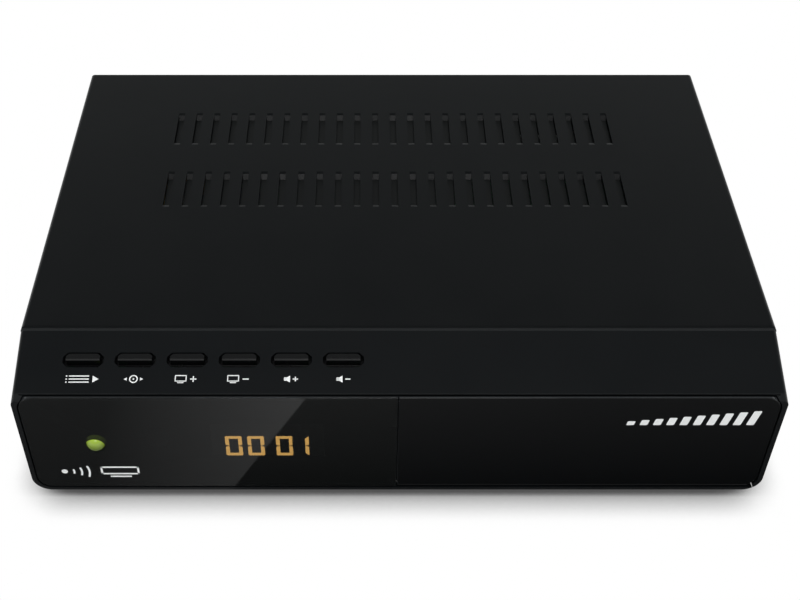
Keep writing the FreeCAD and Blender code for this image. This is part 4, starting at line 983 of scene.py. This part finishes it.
@dataclass
class FrontMarks:
    """Plain marks in the two printed places of the front panels."""

    layout: Layout
    left_x: float = -101.0 * MM
    left_drop: float = 39.2 * MM
    left_tall: float = 4.6 * MM
    right_x: float = 65.0 * MM
    right_drop: float = 14.9 * MM
    right_tall: float = 6.0 * MM

    def build(self) -> None:
        """Print a screen with a signal on the window and rising bars on the flap."""
        marks = Marks()
        self._signal(marks)
        self._bars(marks)

    def _signal(self, marks: Marks) -> None:
        """A dot that sends three waves to a screen."""
        tall, stroke = self.left_tall, 0.62 * MM
        shapes = [marks.disc(0.9 * MM, 0, 0.95 * MM, 20)]
        for index in range(3):
            shapes.append(marks.ring(0.9 * MM, 0, (2.9 + 2.3 * index) * MM, stroke, 20.0, 40.0))
        shapes += marks.frame(17.6 * MM, 0.5 * MM, 11.6 * MM, tall - 0.9 * MM, stroke)
        shapes.append(marks.bar(17.6 * MM, -tall / 2, 6.4 * MM, stroke))
        mark = Bench.join("window_mark", shapes)
        Bench.place(mark, self.layout.on_front(self.left_x, self.left_drop))
        Bench.dress(mark, PRINT_WHITE)

    def _bars(self, marks: Marks) -> None:
        """Ten leaning bars that rise from left to right."""
        pitch, count = 3.9 * MM, 10
        shapes = []
        for index in range(count):
            tall = self.right_tall * (0.28 + 0.72 * index / (count - 1))
            shapes.append(marks.bar(
                (index + 0.5) * pitch, (tall - self.right_tall) / 2, pitch * 0.58, tall, 0.35 * MM, 0.22))
        mark = Bench.join("flap_mark", shapes)
        Bench.place(mark, self.layout.on_front(self.right_x, self.right_drop))
        Bench.dress(mark, PRINT_WHITE, "flap")


@dataclass
class Screws:
    """Pan-head screws with a cross recess, one for each that the frame has."""

    head_radius: float = 2.8 * MM
    head_height: float = 1.8 * MM
    shank_radius: float = 1.45 * MM
    shank_length: float = 4.2 * MM
    pitch: float = 0.7 * MM
    slot_depth: float = 1.1 * MM

    def _model(self) -> Piece:
        """One screw, its head up, seated at the origin."""
        root = self.shank_radius * 0.78
        profile = [(root * 0.6, -self.shank_length)]
        height = -self.shank_length + self.pitch / 2
        while height < -self.pitch:
            profile += [(root, height), (self.shank_radius, height + self.pitch / 2)]
            height += self.pitch
        r, h = self.head_radius, self.head_height
        profile += [(root, -0.1 * MM), (root, 0), (r, 0), (r, h * 0.55), (r * 0.93, h * 0.82),
                    (r * 0.78, h * 0.96), (r * 0.6, h)]
        screw = Bench.turned("screw", profile, 24)
        for wide, long in ((0.45, 1.75), (1.75, 0.45)):
            tool = Bench.block(
                "slot", (-wide * MM, -long * MM, h - self.slot_depth), (wide * MM, long * MM, h + 1 * MM))
            Bench.edit(tool, "FACE", lambda f: f.normal.z < -0.9)
            bpy.ops.transform.resize(value=(0.6, 0.6, 1), center_override=(0, 0, h - self.slot_depth))
            Bench.done()
            Bench.cut(screw, tool)
        Bench.smooth(screw, 40)
        return screw

    def _seats(self, layout: Layout) -> list[Matrix]:
        """Where each screw sits, +Z out of its seat."""
        side_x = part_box("top_cover")[1].x
        turn = Matrix.Rotation
        seats = []
        for y in (-35.15, 47.15):
            for side in (-1, 1):
                seats.append(Matrix.Translation((side * side_x, y * MM, 7.6 * MM)) @ turn(side * QUARTER, 4, "Y"))
        for x in (-80, 0, 80):
            seats.append(Matrix.Translation((x * MM, -55.15 * MM, 3.6 * MM)) @ turn(math.pi, 4, "X"))
        for x, y in ((-58, -28.15), (-58, 39.95), (99, 27.95), (99, -21.15), (8, -10.15),
                     (-101, -21.05), (-71.5, -21.05), (-71.5, 47.95)):
            seats.append(Matrix.Translation((x * MM, y * MM, 11 * MM)))
        for x in (-102.5, -4.5):
            seats.append(layout.on_slope(x * MM, 10.05 * MM, -8.81 * MM) @ turn(math.pi, 4, "X"))
        for x in (-101, -10):
            seats.append(Matrix.Translation((x * MM, -70.55 * MM, 15.6 * MM)) @ turn(-QUARTER, 4, "X"))
        return seats

    def build(self, layout: Layout) -> None:
        """Copy the screw to every seat."""
        model = self._model()
        copies = [Bench.copy(model, f"screw_{n}", seat) for n, seat in enumerate(self._seats(layout))]
        bpy.data.objects.remove(model)
        whole = Bench.join("screws_cross_head", copies)
        Bench.dress(whole, SCREW_BLACK, slot="screw_black")
        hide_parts("screws")


@dataclass
class AerialSockets:
    """Two threaded sockets with a pale insulator round the contact."""

    stem_radius: float = 4.76 * MM
    thread_depth: float = 0.4 * MM
    thread_pitch: float = 0.8 * MM
    reach: float = 11.0 * MM

    def _model(self) -> Piece:
        """The socket along +Z from the rear panel's face."""
        profile = [(1.5, -3.8), (1.5, -2.4), (6.2, -2.4), (6.2, -0.8), (5.2, -0.8), (5.2, 2.4), (4.5, 2.4)]
        rings = [(r * MM, z * MM) for r, z in profile]
        inner, outer = self.stem_radius - self.thread_depth, self.stem_radius
        height = 2.9 * MM
        while height < self.reach - 1.1 * MM:
            rings += [(inner, height), (outer, height + self.thread_pitch * 0.4),
                      (outer, height + self.thread_pitch * 0.55)]
            height += self.thread_pitch
        rings += [(inner, height), (outer - 0.45 * MM, self.reach), (3.5 * MM, self.reach),
                  (3.4 * MM, self.reach - 0.8 * MM), (0.62 * MM, self.reach - 0.8 * MM),
                  (0.6 * MM, self.reach - 6 * MM)]
        socket = Bench.turned("socket", rings, 40)
        Bench.smooth(socket, 30)
        return socket

    def _insulator(self) -> Piece:
        """The pale plug in the socket's mouth, with its contact hole."""
        base = self.reach - 0.8 * MM
        piece = Bench.turned("insulator", [
            (3.3 * MM, base), (3.3 * MM, base + 0.2 * MM), (3.15 * MM, base + 0.3 * MM),
            (1.3 * MM, base + 0.3 * MM), (1.0 * MM, base + 0.12 * MM), (0.5 * MM, base + 0.1 * MM)], 32)
        Bench.smooth(piece, 40)
        return piece

    def build(self, layout: Layout) -> None:
        """Put both sockets over their nodes."""
        model, plug = self._model(), self._insulator()
        for side in ("in", "out"):
            low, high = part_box(f"lnb_{side}_connector")
            seat = layout.on_rear((low.x + high.x) / 2, (low.z + high.z) / 2)
            socket = Bench.copy(model, f"aerial_socket_{side}", seat)
            Bench.dress(socket, NICKEL_PLATE, slot="nickel_plate")
            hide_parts(f"lnb_{side}_connector")
            Bench.dress(Bench.copy(plug, f"aerial_insulator_{side}", seat), INSULATOR_WHITE)
        for piece in (model, plug):
            bpy.data.objects.remove(piece)


@dataclass
class PhonoSockets:
    """Plated sleeves and coloured rings on the three phono sockets."""

    pitch: float = 12.6 * MM
    inner: float = 4.16 * MM
    outer: float = 4.4 * MM
    start: float = 0.55 * MM
    reach: float = 8.4 * MM

    def build(self, layout: Layout) -> None:
        """Fit a sleeve and a ring to each socket."""
        lip = 0.06 * MM
        sleeve = Bench.turned("sleeve", [
            (self.inner, self.start), (self.outer + 0.5 * MM, self.start), (self.outer + 0.5 * MM, 1.1 * MM),
            (self.outer, 1.2 * MM), (self.outer, self.reach - 0.3 * MM), (self.outer - 0.3 * MM, self.reach + lip),
            (3.1 * MM, self.reach + lip), (3.1 * MM, self.reach)], 40)
        ring = Bench.turned("ring", [
            (3.08 * MM, self.reach), (3.08 * MM, self.reach + 0.02 * MM), (2.9 * MM, self.reach + 0.2 * MM),
            (1.95 * MM, self.reach + 0.2 * MM), (1.75 * MM, self.reach + 0.05 * MM),
            (1.72 * MM, self.reach - 2 * MM)], 32)
        for piece in (sleeve, ring):
            Bench.smooth(piece, 35)
        low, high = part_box("phono_sockets")
        middle, z = (low.x + high.x) / 2, 17.5 * MM
        rings = (("yellow", RING_YELLOW), ("white", RING_WHITE), ("red", RING_RED))
        for index, (name, finish) in enumerate(rings):
            seat = layout.on_rear(middle + (index - 1) * self.pitch, z)
            Bench.dress(Bench.copy(sleeve, f"phono_sleeve_{name}", seat), NICKEL_PLATE)
            Bench.dress(Bench.copy(ring, f"phono_ring_{name}", seat), finish)
        for piece in (sleeve, ring):
            bpy.data.objects.remove(piece)


@dataclass
class RearContacts:
    """Liners, tongues and contacts in the flat sockets at the rear."""

    def build(self, layout: Layout) -> None:
        """Fill the network, picture and multi-pin sockets."""
        self._network(layout)
        self._video(layout)
        self._scart(layout)

    @staticmethod
    def _row(name: str, model: Piece, seats: Iterable[Matrix], finish: Finish) -> None:
        """Copy one contact to many seats as one piece."""
        copies = [Bench.copy(model, f"{name}_{n}", seat) for n, seat in enumerate(seats)]
        bpy.data.objects.remove(model)
        Bench.dress(Bench.join(name, copies), finish)

    @staticmethod
    def _leaf(width: float, length: float, thick: float) -> Piece:
        """A springy contact along +Z with a bent, rounded nose."""
        leaf = Bench.block("leaf", (-width / 2, -thick / 2, 0), (width / 2, thick / 2, length))
        Bench.edit(leaf, "FACE", lambda f: f.normal.z > 0.9)
        bpy.ops.mesh.extrude_region_move(TRANSFORM_OT_translate={"value": (0, -thick * 1.5, thick * 2)})
        bpy.ops.transform.resize(value=(0.7, 0.8, 1), center_override=(0, -thick * 1.5, length + thick * 2))
        Bench.done()
        Bench.soften(leaf, thick * 0.2, 1)
        return leaf

    def _network(self, layout: Layout) -> None:
        """A black liner and eight gilt wires."""
        low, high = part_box("network_socket")
        x, z = (low.x + high.x) / 2, (low.z + high.z) / 2 - 0.6 * MM
        face = high.y - layout.panel_rear_y
        liner = Bench.block("network_liner", (-5.85 * MM, -3.95 * MM, face - 11.4 * MM),
                            (5.85 * MM, 3.95 * MM, face - 0.4 * MM))
        Bench.edit(liner, "FACE", lambda f: f.normal.z > 0.9)
        bpy.ops.mesh.inset(thickness=0.5 * MM)
        bpy.ops.mesh.extrude_region_move(TRANSFORM_OT_translate={"value": (0, 0, -10.2 * MM)})
        Bench.done()
        Bench.soften(liner, 0.12 * MM, 1)
        Bench.place(liner, layout.on_rear(x, z))
        Bench.dress(liner, MATT_BLACK)
        tilt = Matrix.Rotation(math.radians(-20), 4, "X")
        seats = [
            layout.on_rear(x + (index - 3.5) * 1.02 * MM, z - 3.0 * MM, face - 9.5 * MM) @ tilt
            for index in range(8)
        ]
        self._row("network_contacts", self._leaf(0.45 * MM, 6.5 * MM, 0.3 * MM), seats, GOLD_CONTACT)

    def _video(self, layout: Layout) -> None:
        """A black tongue with fine gilt pads on both faces."""
        low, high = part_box("digital_video_socket")
        x, z = (low.x + high.x) / 2, (low.z + high.z) / 2 + 0.4 * MM
        face = high.y - layout.panel_rear_y
        tongue = Bench.block("video_tongue", (-5.55 * MM, -0.76 * MM, face - 8.8 * MM),
                             (5.55 * MM, 0.76 * MM, face - 1.1 * MM))
        Bench.soften(tongue, 0.2 * MM, 2)
        Bench.place(tongue, layout.on_rear(x, z))
        Bench.dress(tongue, MATT_BLACK)
        seats = []
        for index in range(19):
            across = (index - 9) * 0.5 * MM
            seats.append(layout.on_rear(x + across, z + (0.79 if index % 2 else -0.79) * MM, face - 7 * MM))
        self._row("video_contacts", self._leaf(0.3 * MM, 5.2 * MM, 0.08 * MM), seats, GOLD_CONTACT)

    def _scart(self, layout: Layout) -> None:
        """A plated leaf in each of the twenty slots."""
        low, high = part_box("scart_socket")
        x, z = (low.x + high.x) / 2, 18.75 * MM
        face = high.y - layout.panel_rear_y
        seats = [
            layout.on_rear(x + (-19 + 3.81 * index) * MM, z + rise * MM, face - 8.6 * MM)
            @ Matrix.Rotation(QUARTER, 4, "Z")
            for rise in (-2.0, 2.0) for index in range(10)
        ]
        self._row("scart_contacts", self._leaf(1.5 * MM, 6.6 * MM, 0.4 * MM), seats, NICKEL_PLATE)


@dataclass
class RearMarks:
    """Plain printed signs by the rear sockets and on the rocker."""

    layout: Layout
    stroke: float = 0.4 * MM

    def build(self) -> None:
        """Print the rear panel's signs and the rocker's line and ring."""
        marks = Marks()
        self._panel(marks)
        self._rocker(marks)

    def _panel(self, marks: Marks) -> None:
        """One sign above each group of sockets."""
        shapes = []

        def put(x: float, z: float, drawn: list[Piece]) -> None:
            """Place drawn shapes about a spot on the rear panel."""
            for shape in drawn:
                shapes.append(Bench.place(shape, self.layout.on_rear(x * MM, z * MM, 0.01 * MM)))

        stroke = self.stroke
        for x, turn in ((96, -90), (78, 90)):
            put(x, 31.6, [marks.arrow(0, 0, 1.3 * MM, turn), marks.ring(0, 0, 2.3 * MM, stroke)])
        put(57, 30.6, [
            marks.bar(0, 0.1 * MM, 6.6 * MM, stroke), marks.bar(0, 1.0 * MM, stroke, 1.8 * MM),
            marks.bar(-3.1 * MM, -0.9 * MM, stroke, 1.8 * MM), marks.bar(3.1 * MM, -0.9 * MM, stroke, 1.8 * MM),
            marks.bar(0, 2.2 * MM, 2.2 * MM, 1.2 * MM), marks.bar(-3.1 * MM, -2.2 * MM, 2.2 * MM, 1.2 * MM),
            marks.bar(3.1 * MM, -2.2 * MM, 2.2 * MM, 1.2 * MM)])
        put(38, 22.6, marks.frame(0, 0.4 * MM, 6.4 * MM, 3.8 * MM, stroke) + [
            marks.bar(0, -2.0 * MM, 3.2 * MM, stroke)])
        put(3, 31.6, marks.frame(0, 0, 12 * MM, 3.8 * MM, stroke) + [
            marks.bar((index - 2) * 2.0 * MM, 0, 0.5 * MM, 1.7 * MM) for index in range(5)])
        for x in (-55.6, -43, -30.4):
            put(x, 27.8, [marks.ring(0, 0, 1.5 * MM, stroke), marks.disc(0, 0, 0.5 * MM, 16)])
        put(-84, 41.2, [
            marks.ring(-1.5 * MM, 0, 1.3 * MM, stroke, 0, 180),
            marks.ring(1.1 * MM, 0, 1.3 * MM, stroke, 180, 180)])
        Bench.dress(Bench.join("rear_signs", shapes), PRINT_GREY)

    def _rocker(self, marks: Marks) -> None:
        """A line on the rocker's upper face and a ring on its lower one."""
        axis = next(j for j in frame["joints"] if j["name"] == "mains_rocker_hinge")["pos_m"]
        rest = Matrix.Translation(axis) @ Matrix.Rotation(math.radians(8), 4, "X")
        facing = Matrix.Rotation(math.pi, 4, "Z") @ Matrix.Rotation(QUARTER, 4, "X")
        shapes = []
        for side, shape in ((1, marks.bar(0, 0, 0.7 * MM, 3.4 * MM)), (-1, marks.ring(0, 0, 1.5 * MM, 0.6 * MM))):
            lean = Matrix.Rotation(math.atan2(1.1, 8.0) * -side, 4, "X")
            spot = Matrix.Translation((0, 2.07 * MM, side * 4.2 * MM))
            shapes.append(Bench.place(shape, rest @ spot @ lean @ facing))
        Bench.dress(Bench.join("rocker_signs", shapes), PRINT_WHITE, "mains_rocker")


@dataclass
class BayDetails:
    """The memory stick tongue and the plain signs in the bay behind the flap."""

    layout: Layout
    sign_z: float = 22 * MM

    def build(self) -> None:
        """Fit the tongue with its contacts and print a card and a stick."""
        low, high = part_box("usb_socket")
        x, z = (low.x + high.x) / 2, 14.6 * MM
        mouth = low.y
        tongue = Bench.block("stick_tongue", (x - 5.45 * MM, mouth + 0.9 * MM, z + 0.1 * MM),
                             (x + 5.45 * MM, mouth + 11 * MM, z + 1.92 * MM))
        Bench.soften(tongue, 0.25 * MM, 2)
        Bench.dress(tongue, INSULATOR_WHITE)
        pad = Bench.block("pad", (-0.5 * MM, 0, -0.06 * MM), (0.5 * MM, 7 * MM, 0.02 * MM))
        Bench.soften(pad, 0.02 * MM, 1)
        copies = [
            Bench.copy(pad, f"stick_pad_{n}", Matrix.Translation((x + step * MM, mouth + 1.4 * MM, z + 0.1 * MM)))
            for n, step in enumerate((-3.5, -1.0, 1.0, 3.5))
        ]
        bpy.data.objects.remove(pad)
        Bench.dress(Bench.join("stick_contacts", copies), GOLD_CONTACT)
        marks = Marks()
        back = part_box("flap_bay")[1].y - 1.5 * MM
        card = marks.frame(0, 0, 6.4 * MM, 4.0 * MM, 0.4 * MM)
        card.append(marks.bar(-1.4 * MM, 0.2 * MM, 1.5 * MM, 1.3 * MM))
        stick = [marks.bar(0, 0, 4.2 * MM, 2.2 * MM), marks.bar(2.9 * MM, 0, 1.4 * MM, 1.5 * MM)]
        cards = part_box("card_reader")
        for shapes, middle in ((card, (cards[0].x + cards[1].x) / 2), (stick, x)):
            for shape in shapes:
                spot = Matrix.Translation((middle, back, self.sign_z))
                Bench.place(shape, spot @ Matrix.Rotation(QUARTER, 4, "X"))
        Bench.dress(Bench.join("bay_signs", card + stick), PRINT_GREY)


# Studio

@dataclass(frozen=True)
class Camera:
    """The photograph's viewpoint, its lengths in metres and its picture places in pixels."""

    focal_px: float = 1250.95
    centre_px: float = 364.0
    width_px: float = 800.0
    pitch_deg: float = 43.59
    aside: float = -10.09 * MM
    before_lid: float = 258.6 * MM
    above_lid: float = 257.61 * MM

    def spot(self, layout: Layout) -> Vector:
        """Where the lens is."""
        return Vector((self.aside, layout.lid_y - self.before_lid, layout.lid_z + self.above_lid))

    def build(self, layout: Layout) -> None:
        """Set up the scene's camera."""
        data = bpy.data.cameras.new("camera")
        data.sensor_width = 36.0
        data.lens = self.focal_px / self.width_px * data.sensor_width
        data.shift_x = (self.width_px / 2 - self.centre_px) / self.width_px
        data.clip_start = 0.01
        camera = bpy.data.objects.new("camera", data)
        camera.location = self.spot(layout)
        camera.rotation_euler = (math.radians(90 - self.pitch_deg), 0, 0)
        bpy.context.scene.collection.objects.link(camera)
        bpy.context.scene.camera = camera


@dataclass(frozen=True)
class Studio:
    """A pale floor, a white horizon under a grey ceiling, four soft lamps and a gloss card."""

    floor_size: float = 6.0
    floor_tone: float = 0.8
    horizon_tone: float = 1.0
    sky_tone: float = 0.228
    zenith_tone: float = 0.12
    contact_reach: float = 14 * MM
    card_height: float = 0.3 * MM
    card_low: tuple[float, float] = (-160 * MM, -240 * MM)
    card_high: tuple[float, float] = (160 * MM, -2 * MM)
    edge_near: tuple[float, float] = (-49.3 * MM, 5 * MM)
    edge_far: tuple[float, float] = (-28.2 * MM, 42 * MM)
    glare_from: float = -95 * MM
    glare_to: float = 5 * MM
    left_tone: float = 0.08
    horizon_band: tuple[float, float] = (0.22, 0.42)
    zenith_band: tuple[float, float] = (0.7, 0.9)
    contact_share: tuple[float, float] = (0.35, 0.89)
    contact_tone: tuple[float, float] = (0.08, 1.0)
    edge_reach: float = 200 * MM
    edge_soft: float = 0.3 * MM
    glare_depth: tuple[float, float] = (6 * MM, 37 * MM)
    glare_tone: tuple[float, float] = (0.76, 1.2)
    dim_depth: tuple[float, float] = (4 * MM, 60 * MM)
    dim_tone: tuple[float, float] = (0.065, 0.38)
    dim_span: tuple[float, float] = (-40 * MM, 110 * MM)
    dim_right: float = 0.68

    def build(self, layout: Layout) -> None:
        """Place the floor, the card and the lamps."""
        bpy.context.scene.view_settings.view_transform = "Standard"
        self._world()
        self._floor()
        self._card(layout)
        self._lamp("lamp_over", (0.0, 0.1, 1.3), (0, 0, 0), 1.0, 8.0, False)
        self._lamp("lamp_left", (-1.0, -0.6, 1.0), (0, 0, 0), 0.8, 4.0, False)
        self._lamp("lamp_right", (1.0, -0.6, 1.0), (0, 0, 0), 0.8, 4.0, False)
        self._lamp("lamp_front", (0.0, -0.85, 1.15), (0, 0, 0.03), 0.5, 3.5, True)

    def _world(self) -> None:
        """White near the horizon, even grey above it and dimmer overhead."""
        world = bpy.data.worlds.new("studio_air")
        bpy.context.scene.world = world
        world.use_nodes = True
        tree = world.node_tree
        height = axes(tree, tree.nodes.new("ShaderNodeTexCoord").outputs["Generated"])["Z"]
        low = ramp_node(tree, height, *self.horizon_band, self.horizon_tone, self.sky_tone, True)
        top = ramp_node(tree, height, *self.zenith_band, 1.0, self.zenith_tone / self.sky_tone, True)
        back = tree.nodes["Background"]
        back.inputs["Color"].default_value = (0.97, 1.0, 0.99, 1)
        tree.links.new(maths_node(tree, "MULTIPLY", low, top), back.inputs["Strength"])

    def _floor(self) -> None:
        """A white floor that keeps only the shadow close under the case."""
        bpy.ops.object.select_all(action="DESELECT")
        bpy.ops.mesh.primitive_plane_add(size=self.floor_size)
        floor = bpy.context.object
        floor.name = "floor"
        material = bpy.data.materials.new("floor_white")
        material.use_nodes = True
        tree = material.node_tree
        tree.nodes.remove(tree.nodes["Principled BSDF"])
        diffuse = tree.nodes.new("ShaderNodeBsdfDiffuse")
        diffuse.inputs["Color"].default_value = (self.floor_tone, self.floor_tone, self.floor_tone, 1)
        near = tree.nodes.new("ShaderNodeAmbientOcclusion")
        near.inputs["Distance"].default_value = self.contact_reach
        near.samples = 16
        shown = tree.nodes.new("ShaderNodeEmission")
        spread = ramp_node(tree, near.outputs["AO"], *self.contact_share, *self.contact_tone)
        tree.links.new(spread, shown.inputs["Strength"])
        rays = tree.nodes.new("ShaderNodeLightPath").outputs
        either = maths_node(tree, "MAXIMUM", rays["Is Glossy Ray"], rays["Is Transmission Ray"])
        seen = maths_node(tree, "MAXIMUM", rays["Is Camera Ray"], either)
        mix = tree.nodes.new("ShaderNodeMixShader")
        tree.links.new(seen, mix.inputs["Fac"])
        tree.links.new(diffuse.outputs["BSDF"], mix.inputs[1])
        tree.links.new(shown.outputs["Emission"], mix.inputs[2])
        tree.links.new(mix.outputs["Shader"], tree.nodes["Material Output"].inputs["Surface"])
        floor.data.materials.append(material)

    def _card(self, layout: Layout) -> None:
        """A card that only reflections see: bright up to a slanted edge, dim beyond it."""
        front = layout.panel_y
        bpy.ops.object.select_all(action="DESELECT")
        low = Vector((self.card_low[0], front + self.card_low[1], self.card_height))
        high = Vector((self.card_high[0], front + self.card_high[1], self.card_height))
        bpy.ops.mesh.primitive_plane_add(size=1, location=(low + high) / 2, scale=(1, 1, 1))
        card = bpy.context.object
        card.name = "gloss_card"
        card.scale = (high.x - low.x, high.y - low.y, 1)
        bpy.ops.object.transform_apply(location=True, rotation=True, scale=True)
        for ray in ("camera", "diffuse", "shadow", "transmission", "volume_scatter"):
            setattr(card, f"visible_{ray}", False)
        material = bpy.data.materials.new("gloss_card")
        material.use_nodes = True
        tree = material.node_tree
        tree.nodes.remove(tree.nodes["Principled BSDF"])
        glow = tree.nodes.new("ShaderNodeEmission")
        tree.links.new(self._card_tone(tree, front), glow.inputs["Strength"])
        tree.links.new(glow.outputs["Emission"], tree.nodes["Material Output"].inputs["Surface"])
        card.data.materials.append(material)

    def _card_tone(self, tree: Tree, front: float) -> Socket:
        """How bright the card is at each place.

        Args:
            tree: The card's nodes.
            front: The place of the front panels along Y.

        Returns:
            The socket with the brightness.
        """
        spot = axes(tree, tree.nodes.new("ShaderNodeTexCoord").outputs["Object"])
        rate = (self.edge_far[0] - self.edge_near[0]) / (self.edge_far[1] - self.edge_near[1])
        edge_x = self.edge_near[0] - rate * self.edge_near[1]
        edge = ramp_node(
            tree, spot["Y"], front, front - self.edge_reach, edge_x, edge_x + rate * self.edge_reach)
        aside = maths_node(tree, "SUBTRACT", spot["X"], edge)
        rise = ramp_node(tree, spot["X"], self.glare_from, self.glare_to)
        glare_y = [front - depth for depth in self.glare_depth]
        depth = ramp_node(tree, spot["Y"], *glare_y, *self.glare_tone)
        lift = ramp_node(tree, spot["Y"], *glare_y, self.left_tone, 0.0)
        inside = ramp_node(tree, aside, -self.edge_soft, self.edge_soft, 1.0, 0.0)
        bright = maths_node(tree, "ADD", maths_node(tree, "MULTIPLY", rise, depth), lift)
        glare = maths_node(tree, "MULTIPLY", bright, inside)
        near_dim = ramp_node(tree, spot["Y"], *[front - depth for depth in self.dim_depth], *self.dim_tone)
        fade = ramp_node(tree, spot["X"], *self.dim_span, 1.0, self.dim_right)
        return maths_node(tree, "ADD", glare, maths_node(tree, "MULTIPLY", near_dim, fade))

    def _lamp(self, name: str, spot: Triple, aim: Triple,
              size: float, power: float, mirrored: bool) -> None:
        """A square soft lamp aimed at a point, seen in gloss or not."""
        data = bpy.data.lights.new(name, "AREA")
        data.size = size
        data.energy = power
        lamp = bpy.data.objects.new(name, data)
        lamp.visible_glossy = mirrored
        lamp.location = spot
        lamp.rotation_euler = (Vector(aim) - Vector(spot)).to_track_quat("-Z", "Y").to_euler()
        bpy.context.scene.collection.objects.link(lamp)


def main() -> None:
    """Build the receiver's looks, piece by piece."""
    logging.basicConfig(level=logging.INFO, format="%(name)s: %(message)s")
    layout = Layout.read()
    camera = Camera()
    camera.build(layout)
    Studio().build(layout)
    CaseFinishes().dress()
    KeyField(layout).build()
    Display(layout, camera.spot(layout)).build()
    FrontMarks(layout).build()
    Screws().build(layout)
    AerialSockets().build(layout)
    PhonoSockets().build(layout)
    RearContacts().build(layout)
    RearMarks(layout).build()
    BayDetails(layout).build()


if __name__ == "__main__":
    main()
